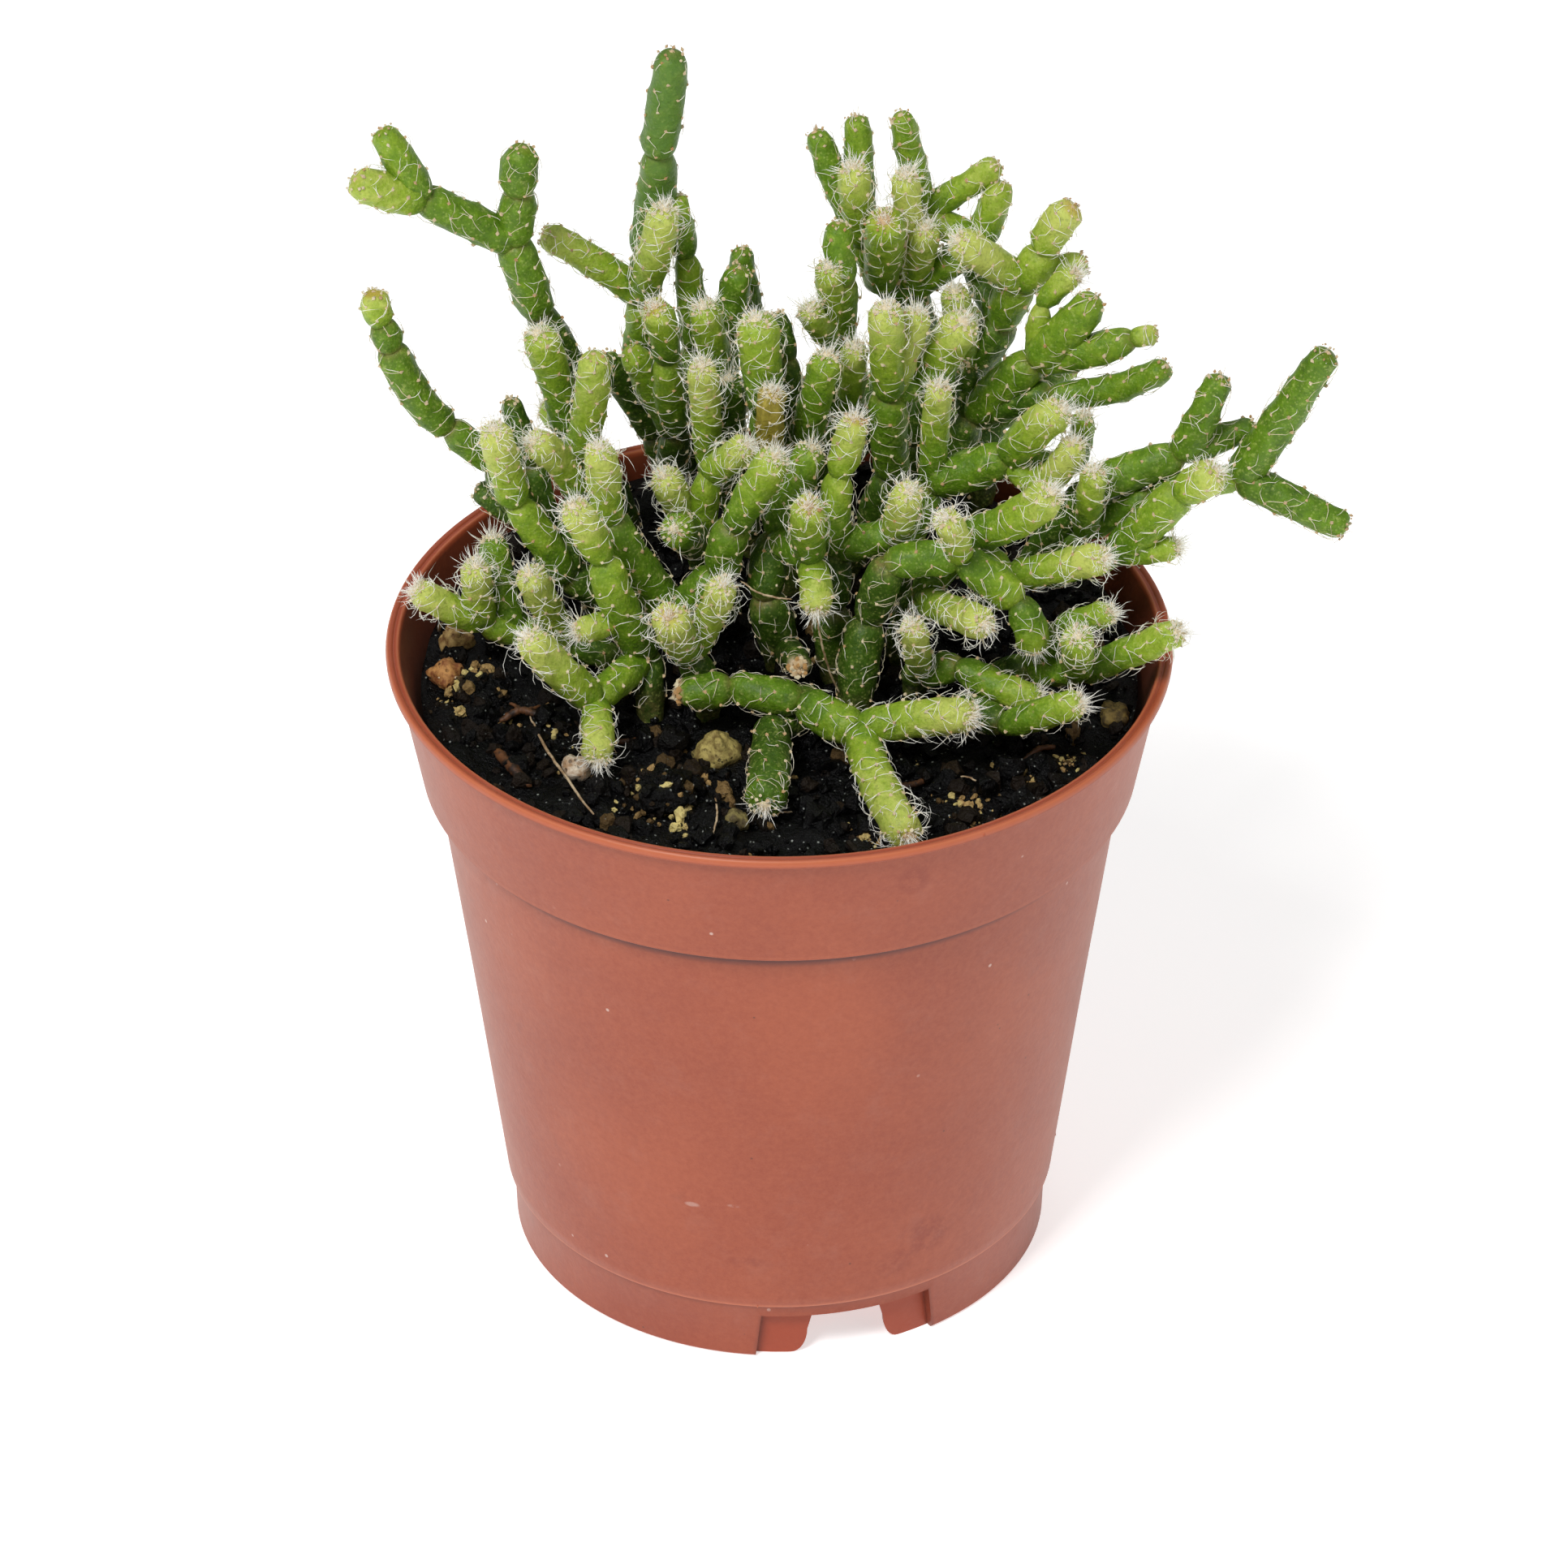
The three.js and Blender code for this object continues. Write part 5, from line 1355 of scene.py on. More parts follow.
@dataclass
class Sausage:
    """The form of one stem joint: a bowed centre line and a radius along it.

    Its places are given by the distance from its first joint, an angle round it and a lift from
    its skin.
    """

    chain: list[Stem]
    rng: np.random.Generator
    rows: int = 24
    buried_rows: int = 5
    overlap: float = 0.3
    shoulder: float = 1.25
    roundness: float = 2.3
    woolly_roundness: float = 2.6
    plain_roundness: float = 2.7
    bow: float = 0.1
    slim: float = 0.9
    lead: float = 4.0
    root_share: float = 0.85
    bare_start: float = 0.45
    bare_end: float = 0.4
    tapers: tuple[tuple[float, float], ...] = ((0.0, 0.18), (-0.28, -0.06), (-0.06, 0.1))
    taper: float = field(init=False)
    belly: float = field(init=False)
    buried: float = field(init=False)
    distance: Array = field(init=False)
    centre: Array = field(init=False)
    radius: Array = field(init=False)
    length: float = field(init=False)

    def __post_init__(self) -> None:
        """Work out the centre line and the radius."""
        points = np.array([self.chain[0].start.point] + [stem.end.point for stem in self.chain])
        legs = np.linalg.norm(np.diff(points, axis=0), axis=1)
        self.length = float(legs.sum())
        tip = self.chain[-1].tip
        self.buried = self.root_share * float(legs[0]) if self.chain[0].root else 0.0
        woolly = self.chain[-1].woolly
        self.taper = float(self.rng.uniform(*self.tapers[0 if woolly else 1 if tip else 2]))
        self.belly = float(self.rng.uniform(0.02, 0.08 if woolly else 0.14))
        end = 0.0 if tip else self.overlap
        hidden = self.buried_rows if self.buried else 0
        share = np.linspace(0.0, 1.0, self.rows - hidden)
        share = 0.5 * share + 0.5 * (0.5 - 0.5 * np.cos(math.pi * share))
        first = self.buried - self.overlap
        above = first + share * (self.length + end - first)
        below = np.linspace(-self.overlap, first, hidden, endpoint=False)
        self.distance = np.concatenate([below, above])
        self.centre = self.curve(points, legs, self.distance)
        self.radius = self.profile(self.distance, legs, tip)

    def curve(self, points: Array, legs: Array, at: Array) -> Array:
        """Bend the centre line smoothly through the joints.

        Args:
            points: The joints.
            legs: The distances between them.
            at: Distances from the first joint.

        Returns:
            The places at those distances.
        """
        chords = np.diff(points, axis=0) / legs[:, None]
        tangents = np.empty_like(points)
        tangents[1:-1] = unit(chords[:-1] + chords[1:])
        swing = self.rng.normal(0.0, self.bow, 3)
        tangents[0] = unit(chords[0] + swing if len(legs) == 1 else 2 * chords[0] - tangents[1])
        tangents[-1] = unit(chords[-1] - swing if len(legs) == 1 else 2 * chords[-1] - tangents[-2])
        starts = np.concatenate([[0.0], np.cumsum(legs)])
        leg = np.clip(np.searchsorted(starts, at, side="right") - 1, 0, len(legs) - 1)
        inside = np.clip(at, 0.0, starts[-1])
        t = ((inside - starts[leg]) / legs[leg])[:, None]
        span = legs[leg][:, None]
        placed = ((2 * t**3 - 3 * t**2 + 1) * points[leg]
                  + (t**3 - 2 * t**2 + t) * span * tangents[leg]
                  + (3 * t**2 - 2 * t**3) * points[leg + 1]
                  + (t**3 - t**2) * span * tangents[leg + 1])
        beyond = (at - inside)[:, None]
        return placed + np.where(beyond > 0, beyond * tangents[-1], beyond * tangents[0])

    def profile(self, at: Array, legs: Array, tip: bool) -> Array:
        """Give the radius along the stem joint: narrow necks and a domed tip.

        Args:
            at: Distances from the first joint.
            legs: The lengths of the halves.
            tip: Whether the far end is a growing tip.

        Returns:
            The radius at each distance.
        """
        middles = np.cumsum(legs) - legs / 2
        base = np.interp(at, middles, [self.slim * stem.radius for stem in self.chain])
        neck = min(self.shoulder, 0.38 * self.length) + self.overlap
        woolly, crown = self.chain[-1].woolly, neck
        if tip:
            crown = min((1.0 if woolly else 0.9) * self.chain[-1].radius, 0.6 * self.length)
        start = np.clip((at - at[0]) / neck, 0.0, 1.0)
        end = np.clip((at[-1] - at) / crown, 0.0, 1.0)
        power = self.roundness
        if tip:
            power = self.woolly_roundness if woolly else self.plain_roundness
        rise = (1 - (1 - start) ** self.roundness) ** (1 / self.roundness)
        fall = (1 - (1 - end) ** power) ** (1 / power)
        share = np.clip((at - self.buried) / (self.length - self.buried), 0.0, 1.0)
        swell = 0.97 - 0.5 * self.belly + self.belly * np.sin(math.pi * share)
        return base * rise * fall * (swell - self.taper * (0.5 - share))

    def frames(self) -> tuple[Array, Array, Array]:
        """The heading, side and other direction at each row of the centre line."""
        heading = unit(np.gradient(self.centre, axis=0))
        chord = unit(self.centre[-1] - self.centre[0])
        hint = np.array([0.3, 1.0, 0.2]) if abs(chord[1]) < 0.8 else np.array([1.0, 0.2, 0.3])
        side = unit(hint - heading * (heading @ hint)[:, None])
        return heading, side, np.cross(heading, side)

    def places(self, at: Array, angle: Array, lift: Array) -> Array:
        """Find places on or over the skin.

        Args:
            at: Distances from the first joint.
            angle: Angles round the stem joint.
            lift: Distances from its skin.

        Returns:
            The places, with a last axis of 3.
        """
        heading, side, other = self.frames()
        knots = np.append(self.distance, self.distance[-1] + self.lead)
        centre = np.vstack([self.centre, self.centre[-1] + self.lead * heading[-1]])
        radius = np.append(self.radius, 0.0)

        def follow(values: Array) -> Array:
            """Interpolate a row of values at the distances."""
            if values.ndim == 1:
                return np.interp(at, knots, values)
            return np.stack([np.interp(at, knots, values[:, k]) for k in range(3)], axis=-1)

        side = follow(np.vstack([side, side[-1]]))
        other = follow(np.vstack([other, other[-1]]))
        away = side * np.cos(angle)[..., None] + other * np.sin(angle)[..., None]
        return follow(centre) + away * (follow(radius) + lift)[..., None]

    def areoles(self, area: float, turn: float) -> tuple[Array, Array]:
        """Space the areoles in spirals round the stem joint.

        Args:
            area: The skin that each of them has, in square millimetres.
            turn: Where the spiral starts.

        Returns:
            Their distances from the first joint and their angles.
        """
        thick = self.slim * self.chain[-1].radius
        first = self.buried + self.bare_start
        last = self.length - (0.16 * thick if self.chain[-1].tip else self.bare_end)
        rise = area / (2 * math.pi * thick)
        count = max(int((last - first) / rise), 1)
        at = first + rise * (np.arange(count) + 0.5)
        angle = turn + GOLDEN * np.arange(count)
        return (at + self.rng.normal(0, 0.1, count), angle + self.rng.normal(0, 0.1, count))


# ------ bristles, felt and wool

@dataclass(frozen=True)
class Coat:
    """How the areoles and bristles of one age of stem joint look.

    area is the skin of one areole in square millimetres, count its bristles, spread how far their
    directions fan out, rise how steeply they stand, flare how much steeper at a growing tip, pad
    the areole's own radius, dull how weathered its bristles are and cork how corky the necks are.
    """

    tone: float
    area: float
    count: int
    length: Range
    spread: float
    rise: Range
    flare: float
    pad: float
    warm: float
    dull: float
    cork: float
    blue: float = 0.0


COATS: dict[Age, Coat] = {
    Age.OLD: Coat(0.16, 2.1, 3, (0.8, 1.6), 42.0, (0.0, 6.0), 4.0, 0.14, 0.45, 0.6, 0.8),
    Age.GROWN: Coat(0.4, 2.0, 3, (0.9, 1.6), 40.0, (0.0, 7.0), 8.0, 0.14, 0.4, 0.6, 0.8),
    Age.FRESH: Coat(0.62, 1.75, 3, (0.9, 1.6), 44.0, (0.0, 10.0), 34.0, 0.13, 0.32, 0.25, 0.3),
    Age.YOUNG: Coat(0.84, 1.45, 4, (0.8, 1.5), 50.0, (0.0, 13.0), 44.0, 0.125, 0.28, 0.0, 0.3),
    Age.BLUISH: Coat(0.5, 2.4, 2, (0.6, 1.1), 40.0, (0.0, 6.0), 0.0, 0.14, 0.5, 0.6, 0.3, 1.0),
}


@dataclass(frozen=True)
class Blanks:
    """The closed forms that the parts of a cutting are threaded from."""

    skin: Blank
    bristle: Blank
    wool: Blank
    pad: Blank
    cap: Blank


@dataclass
class Cutting:
    """One rooted cutting: the skin of its stem joints, its bristles and its felt."""

    name: str
    chains: list[list[Stem]]
    seed: int
    blanks: Blanks
    skin: Bundle = field(default_factory=Bundle)
    bristles: Bundle = field(default_factory=Bundle)
    felt: Bundle = field(default_factory=Bundle)

    def build(self) -> None:
        """Make the cutting's meshes."""
        rng = np.random.default_rng(self.seed)
        for chain in self.chains:
            Shoot(self, chain, rng).build()

    def dress(self, skin: Material, hair: Material,
              felt: Material) -> None:
        """Make the pieces and give them their finishes.

        Args:
            skin: The stems' material.
            hair: The bristles' material.
            felt: The felt's material.
        """
        short = self.name.removeprefix("cutting_")
        dress(self.skin.to_piece(f"stems_{short}"), skin, "stem", self.name)
        dress(self.bristles.to_piece(f"bristles_{short}"), hair, "stem")
        dress(self.felt.to_piece(f"felt_{short}"), felt, "stem")


@dataclass
class Shoot:
    """One stem joint of a cutting, with its skin, its areoles and its tip."""

    cutting: Cutting
    chain: list[Stem]
    rng: np.random.Generator
    bristle: float = 0.029
    wool: float = 0.021
    bristle_rows: tuple[float, ...] = (0.0, 0.1, 0.4, 0.7, 1.0)
    long_share: float = 0.08
    turned_share: float = 0.26
    swell: float = 0.11
    swell_width: float = 0.26
    crown_bristles: int = 42
    crown_wool: int = 130
    rag_lumps: int = 26
    neck_reach: float = 0.5
    spot_reach: float = 0.16
    scar_reach: float = 0.4
    foot_reach: float = 1.4
    least_thick: float = 0.6
    # Painted light: how much paler the high stems at the top right are painted, across which band
    # and above which height.
    painted_light: float = 0.16
    painted_light_across: tuple[float, float] = (0.0, 30.0)
    painted_light_from: float = 56.0

    def __post_init__(self) -> None:
        """Work out the form and place the areoles."""
        self.stem = self.chain[-1]
        self.coat = COATS[self.stem.age]
        self.form = Sausage(self.chain, self.rng, rows=self.cutting.blanks.skin.rows)
        self.thick = self.form.slim * self.stem.radius
        self.at, self.angle = self.form.areoles(self.coat.area, self.rng.uniform(0, 2 * math.pi))

    def build(self) -> None:
        """Add the skin, the areoles with their bristles, and the tip."""
        self.add_skin()
        self.add_pads()
        self.add_bristles()
        if self.stem.woolly:
            self.add_crown()
        elif self.stem.tip:
            self.add_bare_tip()

    def add_skin(self) -> None:
        """Add the skin, swollen a little at the areoles, with the marks that its colour follows."""
        blank, stem, form = self.cutting.blanks.skin, self.stem, self.form
        row_at, radius = form.distance[blank.row], form.radius[blank.row]
        turn = (blank.spin[:, None] - self.angle[None, :] + math.pi) % (2 * math.pi) - math.pi
        away = (row_at[:, None] - self.at[None, :]) ** 2 + (radius[:, None] * turn) ** 2
        bumps = np.minimum(np.exp(-away / (2 * self.swell_width ** 2)).sum(axis=1), 1.0)
        wave = np.array([noise.noise(Vector((x * 0.5, y * 0.9, self.cutting.seed * 3.1)))
                         for x, y in zip(row_at, blank.spin)])
        lift = self.swell * bumps
        if stem.oddity == "withered":
            lift = lift + 0.2 * np.sin(5 * blank.spin) * np.clip(radius, 0, 1)
        lift = (lift - 0.04 + 0.13 * wave) * blank.out * np.clip(radius / stem.radius * 2, 0, 1)
        corners = form.places(row_at, blank.spin, lift * blank.out)
        share = np.clip((row_at - form.buried) / (form.length - form.buried), 0, 1)
        to_end, to_start = form.distance[-1] - row_at, row_at - form.distance[0]
        to_neck = to_start if stem.tip else np.minimum(to_end, to_start)
        neck = np.exp(-(to_neck / self.neck_reach) ** 2)
        tone = self.tone(share, bumps, corners)
        spot = np.exp(-(to_end / self.spot_reach) ** 2) if stem.tip else 0.0 * to_end
        orange = {"orange": 0.5, "cut": 0.0}.get(stem.oddity, 0.0 if stem.woolly else 0.1)
        straw = (stem.oddity == "withered") * (0.9 + 0 * share)
        scar = (stem.oddity == "cut") * np.exp(-(to_end / self.scar_reach) ** 4)
        cork = neck * self.coat.cork
        if form.buried:
            foot = np.exp(-(np.maximum(row_at - form.buried, 0.0) / self.foot_reach) ** 2)
            cork, tone = cork * (1 - foot) + 0.35 * foot, tone - 0.4 * foot
        self.cutting.skin.add(blank, corners[None], age=np.clip(tone, 0, 1), orange=orange * spot,
                              straw=straw, scar=scar, cork=np.clip(cork, 0, 1), blue=self.coat.blue)

    def tone(self, share: Array, bumps: Array, corners: Array) -> Array:
        """Work out how pale the skin is, with painted light on the high stems at the top right.

        Args:
            share: How far along the stem joint each corner lies, 0 to 1.
            bumps: How close to an areole it lies, 0 to 1.
            corners: The corners.

        Returns:
            Each corner's place on the skin's ramp of ages.
        """
        tone = self.coat.tone + (0.22 * share ** 2 if self.stem.woolly else 0.06 * share)
        tone = tone + 0.14 * (bumps - 0.3)
        if self.stem.age in (Age.FRESH, Age.YOUNG):
            tone = tone - 0.34 * (1 - share) ** 2
        # Painted light: paler skin on the high stems at the top right.
        left, right = self.painted_light_across
        x, _, level = corners.T
        across = np.clip((x - left) / 6, 0, 1) * np.clip((right - x) / 6, 0, 1)
        return tone + self.painted_light * across * np.clip((level - self.painted_light_from) / 10, 0, 1)

    def thickness(self, at: Array) -> Array:
        """The radius at some distances, and no less than an angle round it can be told from."""
        radius = np.interp(at, self.form.distance, self.form.radius)
        return np.maximum(radius, self.least_thick)[:, None]

    def add_pads(self) -> None:
        """Add the felt pad of each areole."""
        rng, form, count = self.rng, self.form, len(self.at)
        size = self.coat.pad * rng.uniform(0.7, 1.25, count)
        aim = rng.uniform(0, math.pi, count)[:, None]
        run = rng.uniform(0.8, 1.5, (count, 1)) * np.array([-0.15, 0.0, 0.17])
        thick = self.thickness(self.at)
        paths = form.places(self.at[:, None] + run * np.cos(aim),
                            self.angle[:, None] + run * np.sin(aim) / thick,
                            0 * run + np.array([0.0, 0.05, 0.07]))
        radii = size[:, None] * np.array([0.0, 1.0, 0.0])
        hint = np.tile([0.3, 0.2, 1.0], (count, 1))
        warm = np.clip(self.coat.warm + rng.normal(0, 0.25, count), 0, 1)[:, None]
        pad = self.cutting.blanks.pad
        self.cutting.felt.add(pad, thread(pad, paths, radii, hint), warm=warm)

    def add_bristles(self) -> None:
        """Add each areole's fan of bristles, most of them lying towards the tip."""
        rng, form, coat, each = self.rng, self.form, self.coat, self.coat.count
        fan = np.linspace(-1.0, 1.0, each)[None, :] * coat.spread
        count = len(self.at)
        aim = fan + rng.normal(0, 34, (count, each)) + rng.normal(0, 18, (count, 1))
        aim = np.where(rng.random(aim.shape) < self.turned_share, aim + 180, aim)
        aim = np.radians(aim).ravel()
        length = rng.uniform(*coat.length, aim.size)
        near = 0.15
        if self.stem.woolly:
            near = np.clip(np.repeat(self.at, each) / form.length, 0, 1) ** 2
        stretch = np.where(rng.random(aim.size) < self.long_share, 1.45, 1.0)
        length = length * stretch * (1 + 0.25 * near)
        rise = np.radians(rng.uniform(*coat.rise, aim.size) + coat.flare * near)
        keep = rng.random(aim.size) < 0.5 + 0.5 * near
        base, start = np.repeat(self.at, each)[keep], np.repeat(self.angle, each)[keep]
        aim, length, rise = aim[keep], length[keep], rise[keep]
        share = np.array(self.bristle_rows)
        run = length[:, None] * share * np.cos(rise)[:, None]
        bend = rng.normal(0, 0.42, len(aim))[:, None] * share
        bend = bend + rng.normal(0, 0.06, (len(aim), len(share)))
        thick = self.thickness(base)
        along = base[:, None] + run * np.cos(aim[:, None] + bend)
        angle = start[:, None] + run * np.sin(aim[:, None] + bend) / thick
        arc = 0.06 * np.sin(math.pi * share) + np.sin(rise)[:, None] * share
        lift = length[:, None] * arc + np.array([-0.04, 0.1, 0.06, 0.03, 0.02])
        self.add_hair(self.cutting.blanks.bristle, form.places(along, angle, lift), coat.dull)

    def add_hair(self, blank: Blank, paths: Array, dull: float = 0.0) -> None:
        """Add hairs along paths.

        Args:
            blank: The blank that they are copies of.
            paths: Their paths: hairs x rows x 3.
            dull: How weathered they are, 0 to 1.
        """
        taper = np.linspace(1.0, 0.62, blank.rows)
        taper[[0, -1]] = 0.0
        thickness = self.wool if blank is self.cutting.blanks.wool else self.bristle
        size = thickness * self.rng.uniform(0.8, 1.2, len(paths))
        hint = np.tile([0.25, 0.2, 1.0], (len(paths), 1))
        corners = thread(blank, paths, size[:, None] * taper, hint)
        weathered = np.clip(dull * self.rng.uniform(0.3, 1.5, (len(paths), 1)), 0, 1)
        along = blank.row / (blank.rows - 1)
        self.cutting.bristles.add(blank, corners, along=along, dull=weathered)

    def add_spray(self, blank: Blank, count: int, tilt: Range, length: Range, wave: float) -> None:
        """Add hairs that radiate from the tip.

        Args:
            blank: The blank that they are copies of.
            count: How many hairs.
            tilt: Their least and greatest angle from the stem's direction, in degrees.
            length: Their least and greatest length.
            wave: How wavy they are.
        """
        rng = self.rng
        heading, side, other = (value[-1] for value in self.form.frames())
        lean = np.radians(rng.uniform(*tilt, count))
        spin = GOLDEN * np.arange(count) + rng.normal(0, 0.3, count)
        away = side * np.cos(spin)[:, None] + other * np.sin(spin)[:, None]
        direction = heading * np.cos(lean)[:, None] + away * np.sin(lean)[:, None]
        depth, width = 0.1 + 0.62 * self.thick * (1 - np.cos(lean)), 0.8 * self.thick * np.sin(lean)
        seat = self.form.centre[-1] - heading * depth[:, None]
        seat = seat + away * width[:, None] * rng.uniform(0.35, 1.0, count)[:, None]
        share = np.linspace(0.0, 1.0, blank.rows)[None, :, None]
        low, high = length
        reach = low + (high - low) * rng.random((count, 1, 1)) ** 1.4
        drift = rng.normal(0, 1, (count, 1, 3)) * wave * share ** 2
        curl = rng.normal(0, 0.45 * wave, (count, blank.rows, 3)) * share
        self.add_hair(blank, seat[:, None] + reach * (direction[:, None] * share + drift + curl))

    def add_crown(self) -> None:
        """Add the woolly crown of a growing tip: a felt cap, curly wool and radiating bristles."""
        blanks, thick = self.cutting.blanks, self.thick
        orange = 0.5 if self.stem.oddity == "orange" else 0.0
        self.add_cap(0.34 * thick, 0.1 * thick, self.coat.warm - 0.3 + orange)
        self.add_lumps(16, (0.2, 0.78), (0.08, 0.17), (-0.4, 0.5 + orange))
        share = 1.0 if self.stem.age in (Age.YOUNG, Age.FRESH) else 0.75
        self.add_spray(blanks.bristle, int(self.crown_bristles * share), (6, 88), (0.6, 1.9), 0.07)
        self.add_spray(blanks.wool, int(self.crown_wool * share), (5, 85), (0.3, 0.8), 0.5)

    def add_bare_tip(self) -> None:
        """Add the small tuft of a plain tip, or the ragged flesh of a cut one."""
        if self.stem.oddity == "cut":
            self.add_lumps(self.rag_lumps, (0.0, 0.7), (0.12, 0.3), (-0.3, 1.4))
            return
        self.add_cap(0.26, 0.06, 0.5)
        self.add_lumps(9, (0.3, 0.8), (0.07, 0.15), (0.0, 0.9))
        self.add_spray(self.cutting.blanks.bristle, 7, (30, 85), (0.3, 0.8), 0.1)

    def add_lumps(self, count: int, reach: Range, size: Range, warm: Range) -> None:
        """Add small lumps of felt or ragged flesh on the tip.

        Args:
            count: How many lumps.
            reach: The least and greatest distance from the middle, as shares of the radius.
            size: Their least and greatest radius.
            warm: How brown they are, from and to.
        """
        rng, pad = self.rng, self.cutting.blanks.pad
        heading, side, other = (value[-1] for value in self.form.frames())
        for index in range(count):
            share = reach[0] + (reach[1] - reach[0]) * math.sqrt((index + 0.5) / count)
            spin = GOLDEN * index + rng.normal(0, 0.2)
            seat = self.form.centre[-1] - heading * (0.02 + 0.4 * self.thick * share ** 3)
            seat = seat + (side * math.cos(spin) + other * math.sin(spin)) * share * self.thick
            wide = rng.uniform(*size)
            lean = heading + rng.normal(0, 0.5, 3)
            path = seat + lean * wide * np.array([-1.0, 0.0, 1.1])[:, None]
            corners = thread(pad, path[None], np.array([[0.0, wide, 0.0]]), side[None])
            self.cutting.felt.add(pad, corners, warm=float(rng.uniform(*warm)))

    def add_cap(self, width: float, height: float, warm: float) -> None:
        """Add a lumpy cap of felt on the tip.

        Args:
            width: The cap's radius.
            height: How far it stands over the tip.
            warm: How brown it is, 0 to 1.
        """
        cap = self.cutting.blanks.cap
        heading, side, _ = (value[-1] for value in self.form.frames())
        share = np.linspace(0.0, 1.0, cap.rows)
        path = self.form.centre[-1] + heading * ((height + 0.5) * share - 0.5)[:, None]
        radii = width * np.sin(math.pi * share) ** 0.6
        corners = thread(cap, path[None], radii[None], side[None])[0]
        rough = self.rng.normal(0, 0.06 * width + 0.012, corners.shape) * cap.out[:, None]
        self.cutting.felt.add(cap, (corners + rough)[None], warm=min(max(warm, 0.0), 1.0))


# ------ the pot

@dataclass
class Pot:
    """The nursery pot: a turned shell with a rolled rim, a band under it and a notched foot."""

    sides: int = 144
    notches: int = 3
    first_notch: float = 14.8
    notch_turn: float = 18.6
    notch_lean: float = 1.3
    notch_height: float = 3.75
    notch_depth: float = 0.6
    slices: int = 12
    clear_radius: float = 22.14
    gap: float = 4.8
    gap_lean: float = 0.4
    gap_depth: float = 4.0
    foot_radius: float = 19.14
    corner: tuple[float, float] = (1.15, 2.0)
    flap_edge: float = 0.56
    flap_margin: float = 0.45
    drains: int = 6
    drain_radius: float = 1.8
    drain_ring: float = 11.5
    drain_level: float = 2.9
    crease: float = 38.0
    inside: Range = (4.95, 48.5)
    below: float = -1.0
    chamfer: Range = (0.15, 0.2)
    burrs: tuple[tuple[Point, float], ...] = (
        ((13.8, -23.62, 48.42), 0.24), ((19.78, -1.8, 6.95), 0.27), ((-1.55, -19.72, 5.02), 0.1),
        ((19.68, -2.2, 7.5), 0.2),
    )
    outline: tuple[tuple[float, float], ...] = (
        (5.0, 0.0), (5.2, 0.3), (5.8, 2.4), (17.0, 2.4), (17.6, 0.2), (17.8, 0.0), (18.95, 0.0),
        (19.14, 0.2), (19.3, 4.72), (19.4, 4.86), (19.68, 4.9), (19.8, 5.05), (19.9, 5.9),
        (22.0, 22.4), (24.1, 38.0), (24.2, 38.62), (24.3, 38.78), (25.02, 38.8), (25.2, 38.95),
        (25.3, 39.5), (26.0, 43.2), (26.78, 47.3), (26.9, 47.86), (27.1, 48.0), (27.36, 48.04),
        (27.48, 48.14), (27.5, 48.35), (27.44, 48.56), (27.32, 48.68), (27.18, 48.7),
        (27.04, 48.62), (26.98, 48.55), (26.9, 48.55), (26.84, 48.6), (26.74, 48.62),
        (26.62, 48.57), (26.52, 48.45), (26.45, 48.2), (26.1, 47.1), (24.5, 39.4), (24.3, 38.9),
        (23.5, 38.2), (23.3, 37.0), (18.5, 4.2), (18.2, 3.5), (17.6, 3.4), (6.4, 3.4), (6.1, 3.2),
        (5.3, 1.0),
    )

    def build(self) -> Object:
        """Turn the shell, then cut the niches, the gaps, the flaps' thin edges and the drains.

        Returns:
            The pot.
        """
        pot = self.turn()
        self.cut(pot, self.niche_cutter)
        self.cut(pot, lambda: self.gap_cutter(0.0, self.clear_radius))
        thin = self.foot_radius - self.notch_depth - self.flap_edge
        self.cut(pot, lambda: self.gap_cutter(self.flap_margin, thin))
        self.drill(pot)
        only(pot)
        bpy.ops.object.shade_smooth_by_angle(angle=math.radians(self.crease))
        self.mark_inside(pot)
        return pot

    def mark_inside(self, pot: Object) -> None:
        """Mark the corners of the inner wall, which the light hardly reaches, for the painted shade
        there.

        Args:
            pot: The pot.
        """
        wide, high = (np.array(part) for part in zip(*self.outline[5:24]))
        corners = np.array([vertex.co for vertex in pot.data.vertices]) / MM
        away, level = np.hypot(corners[:, 0], corners[:, 1]), corners[:, 2]
        depth = np.interp(level, high, wide) - away
        low, top = self.inside
        inside = np.clip((depth - 0.5) / 0.3, 0, 1) * np.clip((top - level) / 0.5, 0, 1)
        inside = inside * (level > low)
        marks = pot.data.attributes.new("inside", "FLOAT", "POINT")
        marks.data.foreach_set("value", inside.astype(np.float32))

    def pips(self) -> Object:
        """Make the small burrs that the mould left: one on the rim and three low on the wall.

        Returns:
            The burrs as one piece.
        """
        rng = np.random.default_rng(2)
        crumbs = Crumbs(Blank.ball(9, 6), rng, ((0.0, 1.0),))
        for place, radius in self.burrs:
            crumbs.add(np.array(place), radius)
        return crumbs.bundle.to_piece("moulding_pips")

    def turn(self) -> Object:
        """Draw a ring along the outline, into a closed shell.

        Returns:
            The shell.
        """
        deselect()
        radius, level = self.outline[0]
        bpy.ops.mesh.primitive_circle_add(vertices=self.sides, radius=radius * MM,
                                          location=(0, 0, level * MM))
        pot = bpy.context.object
        pot.name = "nursery_pot"
        only(pot)
        bpy.ops.object.transform_apply(location=True, rotation=True, scale=True)
        with editing(pot):
            bpy.ops.mesh.edge_face_add()
            draw_along(self.outline)
        return pot

